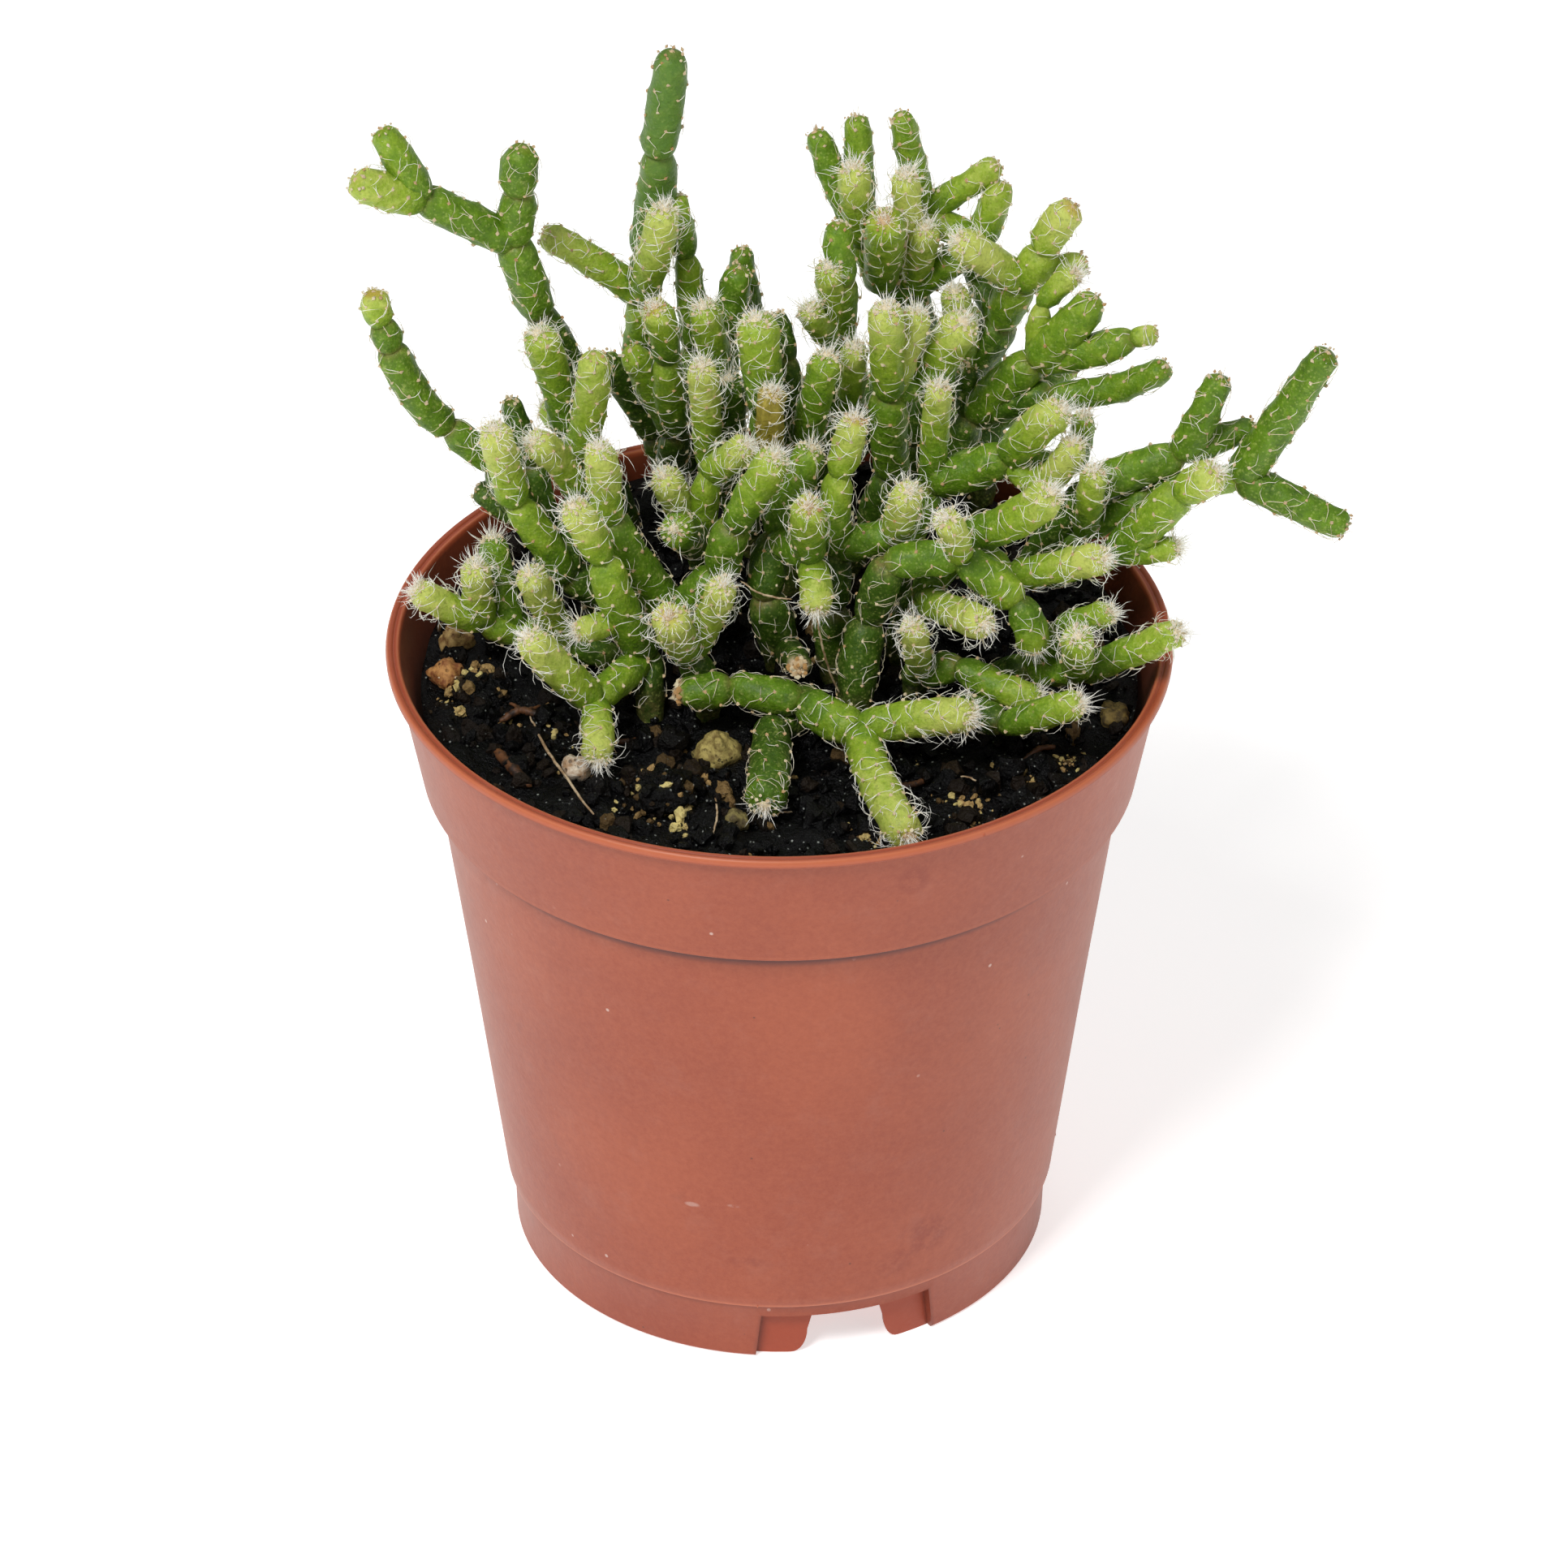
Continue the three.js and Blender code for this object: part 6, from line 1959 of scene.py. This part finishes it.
    def niche_cutter(self) -> Object:
        """Make the solid that cuts one shallow niche, whose floor follows the foot's round.

        Returns:
            The cutter, at the front of the pot.
        """
        half, wide = (math.radians(self.notch_turn + lean) for lean in (0.0, self.notch_lean))
        levels = ((self.below, wide), (0.0, wide), (self.notch_height, half))
        reach = (self.foot_radius - self.notch_depth, self.clear_radius)
        last, top = self.slices, len(levels) - 1
        corners = [(radius * MM * math.sin(turn * (2 * step / last - 1)),
                    -radius * MM * math.cos(turn * (2 * step / last - 1)), level * MM)
                   for level, turn in levels for step in range(last + 1) for radius in reach]

        def quad(*places: tuple[int, int, int]) -> tuple[int, ...]:
            """A face between four corners, each given by its level, its step and its side."""
            return tuple((row * (last + 1) + step) * 2 + side for row, step, side in places)

        faces = [quad((row, step, side), (row, step + 1, side),
                      (row + 1, step + 1, side), (row + 1, step, side))
                 for row in range(top) for step in range(last) for side in (0, 1)]
        faces += [quad((row, step, 0), (row, step + 1, 0), (row, step + 1, 1), (row, step, 1))
                  for row in (0, top) for step in range(last)]
        faces += [quad((row, step, 0), (row, step, 1), (row + 1, step, 1), (row + 1, step, 0))
                  for row in range(top) for step in (0, last)]
        cutter = make_cutter(corners, faces)
        with editing(cutter):
            bpy.ops.mesh.quads_convert_to_tris()
        return cutter

    def gap_cutter(self, more: float, outer: float) -> Object:
        """Make the solid that cuts the gap between two flaps, with round lower corners.

        Args:
            more: How much wider than the gap it is on either side.
            outer: How far out it reaches, as a radius.

        Returns:
            The cutter, at the front of the pot.
        """
        half, (wide, high) = self.gap / 2 + more, self.corner
        end = half + self.gap_lean
        turn = np.linspace(0.0, math.pi / 2, 9)
        right = [(end + wide * (1 - math.sin(a)), high * (1 - math.cos(a))) for a in turn]
        right = [(end + wide, self.below), *right, (half, self.notch_height - self.chamfer[1]),
                 (half - self.chamfer[0], self.notch_height)]
        inner = (self.foot_radius - self.gap_depth) * MM
        around = right + [(-x, z) for x, z in reversed(right)]
        corners = [(x * MM, -inner, z * MM) for x, z in around]
        cutter = make_cutter(corners, [tuple(range(len(corners)))])
        with editing(cutter):
            bpy.ops.mesh.extrude_region_move(
                TRANSFORM_OT_translate={"value": (0, inner - outer * MM, 0)})
        return cutter

    def cut(self, pot: Object, make: Callable[[], Object]) -> None:
        """Cut the same solid out of the foot at each notch.

        Args:
            pot: The pot.
            make: Makes the solid at the front of the pot.
        """
        for index in range(self.notches):
            cutter = make()
            angle = math.radians(self.first_notch + 360 / self.notches * index)
            cutter.data.transform(Matrix.Rotation(angle, 4, "Z"))
            take_away(pot, cutter)

    def drill(self, pot: Object) -> None:
        """Drill the drain holes in the floor.

        Args:
            pot: The pot.
        """
        for index in range(self.drains):
            angle = 2 * math.pi * (index + 0.5) / self.drains
            place = (self.drain_ring * math.cos(angle) * MM, self.drain_ring * math.sin(angle) * MM,
                     self.drain_level * MM)
            deselect()
            bpy.ops.mesh.primitive_cylinder_add(vertices=24, radius=self.drain_radius * MM,
                                                depth=3 * MM, location=place)
            take_away(pot, bpy.context.object)


# ------ the soil and what lies in it

@dataclass
class Soil:
    """The wet peat: a plug that fills the pot, with a clumpy top and loose crumbs."""

    edge: float = 25.1
    sides: int = 160
    rings: int = 56
    crumbs: int = 1900
    grains: int = 420
    hollow: float = 0.35
    wall: tuple[tuple[float, float], ...] = ((24.3, 41.0), (23.3, 38.0), (18.4, 5.8), (17.9, 3.8))
    lain: tuple[tuple[Point, float], ...] = field(init=False)

    def __post_init__(self) -> None:
        """Note where grit and clods lie."""
        self.lain = tuple((GROUND.under(*board), radius) for board, radius, _ in GRIT.values())

    def clear(self, x: float, y: float) -> float:
        """How far a place is from the nearest grain: 0 in its middle and 1 well outside it."""
        away = min(math.hypot(x - at[0], y - at[1]) / radius for at, radius in self.lain)
        return min(max((away - 0.7) / 0.8, 0.0), 1.0)

    def top(self, x: float, y: float) -> float:
        """Work out the height of the clumpy top, which dips where a grain lies.

        Args:
            x: Where on the ground, across.
            y: Where on the ground, towards the back.

        Returns:
            The height with clumps.
        """
        spot = Vector((x, y, 0.0))
        clump = noise.fractal(spot * 0.42, 0.8, 2.0, 3)
        cell = noise.voronoi(spot * 0.5)[0][0]
        clear = self.clear(x, y)
        lumps = 0.4 * clump + 0.6 * (0.45 - min(cell, 1.0))
        return GROUND.height(x, y) + clear * lumps - self.hollow * (1 - clear)

    def build(self) -> Object:
        """Inset a disc ring by ring, lift its corners and draw its side down.

        Returns:
            The plug.
        """
        deselect()
        bpy.ops.mesh.primitive_circle_add(vertices=self.sides, radius=self.edge * MM,
                                          fill_type="NGON")
        soil = bpy.context.object
        soil.name = "potting_soil"
        with editing(soil, "FACE", outwards=False):
            for _ in range(self.rings - 1):
                bpy.ops.mesh.inset(thickness=self.edge / self.rings * MM)
            bpy.ops.mesh.poke()
        for vertex in soil.data.vertices:
            vertex.co.z = self.top(vertex.co.x / MM, vertex.co.y / MM) * MM
        self.draw_side(soil)
        return soil

    def draw_side(self, soil: Object) -> None:
        """Draw the plug's side down along the inside of the pot and close its bottom.

        Args:
            soil: The plug's top.
        """
        with editing(soil):
            bpy.ops.mesh.select_all(action="DESELECT")
            bpy.ops.mesh.select_non_manifold()
            draw_along(((self.edge, GROUND.rim - GROUND.front), *self.wall))
            bpy.ops.transform.resize(value=(1, 1, 0), center_override=(0, 0, self.wall[-1][1] * MM))
            bpy.ops.mesh.edge_face_add()
        bpy.ops.object.shade_smooth()

    def scatter(self, name: str, count: int, size: Range, seed: int,
                tints: tuple[tuple[float, float], ...], spots: list[tuple[Point, float]]
                ) -> Object:
        """Strew crumbs over the soil.

        Args:
            name: The piece's name.
            count: How many crumbs.
            size: Their least and greatest radius.
            seed: The seed of the random draws.
            tints: Pairs of a tint and how often it comes.
            spots: Places that they gather at, with the spread; none for all over the pot.

        Returns:
            The crumbs as one piece.
        """
        rng = np.random.default_rng(seed)
        crumbs = Crumbs(Blank.ball(7, 4), rng, tints)
        for index in range(count):
            if spots:
                (x, y, _), spread = spots[index % len(spots)]
                x, y = rng.normal(x, spread), rng.normal(y, spread)
            else:
                away, turn = self.edge * math.sqrt(rng.random()), rng.uniform(0, 2 * math.pi)
                x, y = away * math.cos(turn), away * math.sin(turn)
            radius = size[0] + (size[1] - size[0]) * rng.random() ** (1.6 if spots else 2.5)
            if math.hypot(x, y) < self.edge - radius and (spots or self.clear(x, y) > 0.3):
                crumbs.add(np.array([x, y, self.top(x, y) + 0.25 * radius]), radius)
        return crumbs.bundle.to_piece(name, smooth=False)

    def strew(self, name: str, seed: int) -> Object:
        """Lay the listed small grains on the soil.

        Args:
            name: The piece's name.
            seed: The seed of the random draws.

        Returns:
            The grains as one piece.
        """
        crumbs = Crumbs(Blank.ball(11, 7), np.random.default_rng(seed), ((0.0, 1.0),))
        for across, up, radius, tint in PEBBLES:
            crumbs.tints = ((tint, 1.0),)
            x, y, _ = GROUND.under(across, up)
            crumbs.add(np.array([x, y, self.top(x, y) + 0.5 * radius]), radius)
        return crumbs.bundle.to_piece(name, smooth=False)


@dataclass
class Crumbs:
    """Angular crumbs of peat, bark and grit, each with its own tint."""

    blank: Blank
    rng: np.random.Generator
    tints: tuple[tuple[float, float], ...]
    bundle: Bundle = field(default_factory=Bundle)

    def add(self, place: Array, radius: float) -> None:
        """Add one crumb.

        Args:
            place: Its middle.
            radius: Its radius.
        """
        rng, blank = self.rng, self.blank
        share = np.linspace(0.0, math.pi, blank.rows)
        axis = unit(rng.normal(0, 1, 3))
        path = place - axis * (radius * np.cos(share))[:, None]
        radii = radius * np.sin(share) * rng.uniform(0.5, 1.1)
        corners = thread(blank, path[None], radii[None], unit(rng.normal(0, 1, 3))[None])[0]
        corners = place + (corners - place) * (1 + rng.normal(0, 0.18, (len(corners), 1)))
        values, odds = zip(*self.tints)
        tint = rng.choice(values, p=np.array(odds) / sum(odds)) + rng.normal(0, 0.04)
        self.bundle.add(blank, corners[None], tint=min(max(tint, 0.0), 1.0))


@dataclass
class Grain:
    """A grain of grit, rough and a little sunk into the soil."""

    node: str
    sides: int = 26
    rings: int = 17
    roughness: float = 0.2
    swell: float = 1.15

    def form(self, swell: float = 1.0) -> tuple[Blank, Array, Array]:
        """Dent a ball with noise.

        Args:
            swell: A factor on its size.

        Returns:
            The blank, the grain's corners and its middle.
        """
        (across, up), radius, flat = GRIT[self.node]
        centre = np.array(GROUND.under(across, up)) + np.array([0, 0, 0.2 * radius])
        blank = Blank.ball(self.sides, self.rings)
        share = math.pi * blank.row / (blank.rows - 1)
        flare = np.sin(share)
        ball = np.stack([flare * np.cos(blank.spin), flare * np.sin(blank.spin), -np.cos(share)],
                        axis=-1)
        dent = 1 + 0.1 * np.sin(5 * ball[:, 0] + across) + 0.1 * np.sin(4 * ball[:, 1] + up)
        rough = np.array([noise.fractal(Vector(corner) * 2.2 + Vector((across, up, 0)), 0.7, 2.2, 4)
                          for corner in ball])
        corners = ball * (swell * radius * (dent + self.roughness * rough))[:, None]
        corners[:, 2] *= flat
        return blank, centre + corners, centre

    def build(self) -> Object:
        """Make the grain."""
        blank, corners, _ = self.form(self.swell)
        bundle = Bundle()
        bundle.add(blank, corners[None])
        return bundle.to_piece(f"{self.node}_grain")


@dataclass
class Clod(Grain):
    """A clod of peat or bark that crumbs and yellowish grit are stuck to."""

    core: float = 0.86
    core_tint: float = 0.04
    crumbs: int = 150
    size: Range = (0.16, 0.62)
    tints: tuple[Range, ...] = ((0.03, 9), (0.3, 4), (0.55, 1.2), (0.75, 1.0), (0.95, 0.5))
    crust: tuple[float, float, float, float] = (0.4, -0.5, 0.8, 0.0)
    crust_tints: tuple[Range, ...] = ((0.55, 1.0), (0.8, 2.0), (1.0, 3.0))

    def build(self) -> Object:
        """Stick crumbs on a rough core, with more pale ones round the crust's place."""
        blank, corners, centre = self.form(self.core)
        rng = np.random.default_rng(len(self.node))
        stuck = Crumbs(Blank.ball(6, 3), rng, self.tints)
        stuck.bundle.add(blank, corners[None], tint=self.core_tint)
        spots = corners[rng.choice(len(corners), self.crumbs)]
        crust = centre + np.array(self.crust[:3]) * GRIT[self.node][1]
        for spot in spots:
            near = np.linalg.norm(spot - crust) < self.crust[3]
            stuck.tints = self.crust_tints if near else self.tints
            low, high = self.size
            stuck.add(spot, low + (0.5 if near else 1.0) * (high - low) * rng.random() ** 2)
        return stuck.bundle.to_piece(f"{self.node}_lump", smooth=False)


@dataclass
class Litter:
    """Dry root fibres and brown scraps lying on the soil, and fibres hung between stems.

    A fibre on the soil is [across, up, lift over the soil] on the board, and a hung one
    [across, up, back]; each has a thickness.
    """

    soil: Soil
    passes: int = 7
    waver: float = 0.02
    pale: Fibres = (
        (((-17.8, 4.6, 0.4), (-17.3, 3.0, 0.9), (-16.6, 1.6, 0.9), (-15.5, 0.4, 0.7),
          (-14.4, -1.1, 0.4), (-12.9, -2.9, 0.4)), 0.11),
        (((-1.6, -2.0, 0.3), (-0.6, -2.5, 0.6), (0.6, -2.2, 0.3)), 0.08),
        (((-4.8, -1.2, 0.3), (-4.6, -2.6, 0.5), (-5.0, -3.9, 0.4)), 0.08),
        (((-24.2, 6.9, 0.6), (-22.6, 6.6, 1.0), (-21.2, 6.9, 0.7)), 0.12),
        (((10.5, -0.6, 0.3), (12.6, 0.2, 0.5), (14.2, -0.4, 0.3)), 0.07),
        (((-13.4, 3.0, 0.4), (-12.2, 2.4, 0.6), (-11.4, 1.4, 0.3)), 0.08),
    )
    hung: Fibres = (
        (((2.3, 11.6, -6.2), (2.6, 9.9, -6.0), (3.1, 8.0, -5.4), (3.9, 6.2, -5.0)), 0.085),
        (((-3.1, 14.2, -2.6), (-1.8, 13.3, -3.2), (-0.4, 13.0, -3.6), (0.6, 12.9, -3.8)), 0.08),
    )
    dark: Fibres = (
        (((6.9, -0.2, 0.2), (8.6, -0.5, 0.4), (10.2, 0.2, 0.2)), 0.26),
        (((-12.6, 2.9, 0.1), (-11.4, 2.6, 0.4), (-10.2, 3.0, 0.1)), 0.2),
        (((16.4, 1.2, 0.1), (17.8, 2.2, 0.4), (19.0, 2.4, 0.2)), 0.22),
        (((-19.9, 3.9, 0.5), (-18.4, 4.6, 0.8), (-16.6, 4.2, 0.5)), 0.3),
        (((-19.2, 5.3, 0.5), (-18.0, 4.4, 0.8), (-16.9, 5.0, 0.6)), 0.16),
        (((-20.4, 2.4, 0.3), (-19.0, 0.6, 0.6), (-17.6, -0.6, 0.4)), 0.42),
    )

    def build(self, name: str, fibres: Fibres, seed: int, hung: Fibres = ()) -> Object:
        """Lay fibres over the soil and between the stems.

        Args:
            name: The piece's name.
            fibres: The places and thicknesses of those on the soil.
            seed: The seed of the random draws.
            hung: The same for those between stems.

        Returns:
            The fibres as one piece.
        """
        rng = np.random.default_rng(seed)
        blank = Blank.ball(6, 22)
        bundle = Bundle()
        share = np.linspace(0, 1, blank.rows)
        for places, thickness in fibres + hung:
            knots = np.linspace(0, 1, len(places))
            spots = [np.interp(share, knots, [place[k] for place in places]) for k in range(3)]
            if (places, thickness) in hung:
                path = np.array([BOARD.place(*spot) for spot in zip(*spots)])
            else:
                path = np.array([GROUND.under(across, up) for across, up in zip(*spots[:2])])
                tops = np.array([self.soil.top(x, y) for x, y, _ in path])
                path[:, 2] = np.maximum(path[:, 2] + spots[2], tops + 0.6 * thickness)
            for _ in range(self.passes):
                path[1:-1] = (path[:-2] + 2 * path[1:-1] + path[2:]) / 4
            path = path + rng.normal(0, self.waver, path.shape)
            radii = thickness * (0.6 + 0.4 * np.sin(math.pi * share))
            radii = radii * rng.uniform(0.85, 1.15, len(share))
            radii[[0, -1]] = 0.0
            bundle.add(blank, thread(blank, path[None], radii[None], np.array([[0.2, 0.3, 1.0]])))
        return bundle.to_piece(name)


# ------ the studio

@dataclass
class Studio:
    """A plain pale floor, soft lights and the camera."""

    lens: float = 198.92
    sensor: float = 36.0
    floor: float = 6.0
    floor_glow: float = 0.58
    floor_tints: tuple[Colour, Colour] = ((0.93, 0.93, 0.93), (0.97, 0.97, 0.97))
    aim: Point = (0.0, 0.0, 0.04)
    sky: float = 0.2
    lamps: tuple[tuple[str, Point, float, float], ...] = (
        ("key", (-0.30, -0.50, 0.82), 0.28, 5.8),
        ("fill", (0.60, -0.40, 0.50), 0.5, 0.6),
        ("back", (0.1, 0.5, 0.8), 0.6, 1.3),
    )

    def build(self) -> None:
        """Lay the floor and set up the lights and the camera."""
        deselect()
        bpy.ops.mesh.primitive_plane_add(size=self.floor)
        floor = bpy.context.object
        floor.name = "floor"
        bench = Bench("floor_paper", roughness=0.9)
        tint = bench.noise(60.0, 1.0) * 0.02
        bench.shader.inputs["Emission Color"].default_value = (1, 1, 1, 1)
        bench.shader.inputs["Emission Strength"].default_value = self.floor_glow
        floor.data.materials.append(bench.finish(base_color=bench.mix(tint, *self.floor_tints)))
        for name, place, size, power in self.lamps:
            aim = Vector(self.aim) - Vector(place)
            bpy.ops.object.light_add(type="AREA", location=place,
                                     rotation=aim.to_track_quat("-Z", "Y").to_euler())
            lamp = bpy.context.object
            lamp.name = name
            lamp.data.size = size
            lamp.data.energy = power
        world = bpy.data.worlds.new("studio")
        world.use_nodes = True
        background = world.node_tree.nodes["Background"]
        background.inputs[0].default_value = (1, 1, 1, 1)
        background.inputs[1].default_value = self.sky
        bpy.context.scene.world = world
        bpy.context.scene.view_settings.view_transform = "Standard"
        eye = tuple(part * MM for part in BOARD.eye)
        bpy.ops.object.camera_add(location=eye, rotation=(math.pi / 2 - BOARD.slope, 0, 0))
        camera = bpy.context.object
        camera.data.lens = self.lens
        camera.data.sensor_width = self.sensor
        camera.data.clip_start = 0.01
        bpy.context.scene.camera = camera


# ------ assembly

# The slot, the finish and the swell of each grain.
GRAIN_FINISHES: dict[str, tuple[str, Stone, float]] = {
    node: (slot, Stone(name, srgb(*light), srgb(*dark)), swell)
    for node, slot, name, light, dark, swell in (
        ("pumice_left", "pumice_tan", "pumice_tan", (196, 164, 104), (120, 84, 44), 1.15),
        ("pumice_wall", "pumice_tan", "pumice_rust", (206, 150, 86), (128, 72, 34), 1.15),
        ("perlite_front", "perlite", "perlite", (240, 228, 206), (176, 140, 104), 1.3),
        ("pumice_round", "pumice_olive", "pumice_olive", (200, 182, 106), (124, 104, 54), 1.15),
        ("pumice_small", "pumice_olive", "pumice_dull", (160, 146, 88), (80, 68, 38), 1.15),
        ("pumice_right", "pumice_olive", "pumice_moss", (140, 118, 60), (70, 56, 28), 1.15),
    )
}
# More small grains on the soil: across and up on the board, radius and tint.
PEBBLES: tuple[tuple[float, float, float, float], ...] = (
    (-7.2, -2.3, 0.62, 0.97), (-7.9, -1.6, 0.42, 0.9), (-6.7, -1.5, 0.34, 0.85),
    (-7.6, -3.0, 0.36, 1.0), (-8.8, -0.6, 0.3, 0.8), (-9.9, -0.9, 0.5, 0.72),
    (-10.9, 0.2, 0.95, 0.3), (-10.2, -2.3, 0.34, 0.62), (-9.0, -1.4, 0.26, 0.85),
    (-4.2, -0.7, 0.72, 0.62), (-3.8, -1.6, 0.5, 0.66), (-5.6, 0.4, 0.4, 0.7),
    (-23.4, 6.2, 0.5, 0.85), (-22.6, 5.0, 0.42, 0.8), (-21.6, 8.4, 0.36, 0.72),
    (-19.3, 1.4, 0.4, 0.35), (-16.4, 0.7, 0.5, 0.32), (5.6, -3.9, 0.4, 0.95),
    (6.6, -3.5, 0.45, 0.9), (12.9, -1.6, 0.34, 0.85), (16.7, 0.6, 0.3, 0.8), (9.4, 1.4, 0.3, 0.9),
    (-1.0, -3.4, 0.3, 0.6), (14.6, 1.2, 0.3, 0.9), (-9.4, 0.9, 0.2, 0.85), (-8.9, 0.2, 0.18, 0.95),
    (-8.4, 0.7, 0.16, 0.8), (-8.1, -0.3, 0.2, 0.92), (-7.6, 0.3, 0.16, 0.85),
    (-9.6, 0.1, 0.18, 0.75), (-7.3, -0.7, 0.22, 0.97), (-8.6, -1.9, 0.2, 0.95),
    (-6.9, -2.9, 0.24, 0.95), (-7.4, -1.8, 0.26, 1.0), (-8.2, -1.0, 0.22, 0.9),
    (-9.3, -1.9, 0.2, 0.6), (-18.8, 2.6, 0.9, 0.22), (-18.0, 1.2, 0.7, 0.25),
    (-19.7, 4.0, 0.28, 0.8), (-19.1, 4.4, 0.24, 0.9), (-18.5, 4.3, 0.2, 0.8),
    (-20.2, 3.4, 0.22, 0.75), (-22.2, 5.6, 0.3, 0.78), (-20.8, 6.9, 0.26, 0.8),
    (7.4, -3.1, 0.22, 0.85), (8.2, -3.3, 0.2, 0.95), (11.0, -2.3, 0.22, 0.85),
    (14.0, 0.1, 0.2, 0.95),
)
DARK_CRUMBS = ((0.0, 11.0), (0.12, 3.0), (0.3, 2.2), (0.5, 0.6), (0.75, 0.25))
PALE_CRUMBS = ((0.3, 1.0), (0.5, 1.0), (0.75, 2.0), (0.95, 2.0))


def main() -> None:
    """Build the pot, the soil, what lies in it, the cuttings and the studio."""
    logging.basicConfig(level=logging.INFO, format="%(message)s")
    Studio().build()
    pot, plastic = Pot(), PotPlastic().material()
    dress(pot.build(), plastic, "pot", "pot")
    dress(pot.pips(), plastic, "pot")
    soil, peat = Soil(), Peat().material()
    dress(soil.build(), peat, "soil", "soil")
    dress(soil.scatter("soil_crumbs", soil.crumbs, (0.14, 1.1), 5, DARK_CRUMBS, []), peat, "soil")
    for node, (slot, finish, swell) in GRAIN_FINISHES.items():
        dress(Grain(node, swell=swell).build(), finish.material(), slot, node)
    dress(Clod("clod_front", crust=(0.45, -0.75, 0.3, 1.1)).build(), peat, "clod", "clod_front")
    dress(Clod("bark_left", crust=(-0.2, 0.5, 0.5, 0.9)).build(), peat, "bark", "bark_left")
    clod, bark = (GROUND.under(*GRIT[node][0]) for node in ("clod_front", "bark_left"))
    spots = [(clod, 1.7), (bark, 1.3)]
    spots += [(GROUND.under(across, up), spread) for across, up, spread in (
        (5.9, -3.6, 0.7), (12.7, -1.2, 1.1), (-13.6, 3.4, 1.0), (17.4, 0.0, 0.8), (20.1, 1.7, 0.5))]
    grains = soil.scatter("soil_grains", soil.grains, (0.08, 0.3), 9, PALE_CRUMBS, spots)
    dress(grains, peat, "soil")
    dress(soil.strew("soil_pebbles", 12), peat, "soil")
    litter = Litter(soil)
    pale, dark = (Fibre("pale_fibre", srgb(212, 190, 156), srgb(150, 118, 84)),
                  Fibre("brown_fibre", srgb(112, 70, 38), srgb(44, 28, 18)))
    dress(litter.build("fibres_pale", litter.pale, 3, litter.hung), pale.material(), "soil")
    dress(litter.build("fibres_brown", litter.dark, 4), dark.material(), "soil")
    plan = Plan()
    plan.lay_out()
    plan.settle()
    skin = StemSkin().material()
    hair = Hair("bristle", srgb(226, 210, 170), srgb(252, 250, 242), srgb(206, 188, 138)).material()
    felt = Felt().material()
    blanks = Blanks(skin=Blank.ball(22, 20), bristle=Blank.ball(3, 3), wool=Blank.ball(3, 2),
                    pad=Blank.ball(6, 1), cap=Blank.ball(10, 5))
    for seed, name in enumerate(CUTTINGS):
        cutting = Cutting(name, plan.chains(name), seed, blanks)
        cutting.build()
        cutting.dress(skin, hair, felt)


if __name__ == "__main__":
    main()
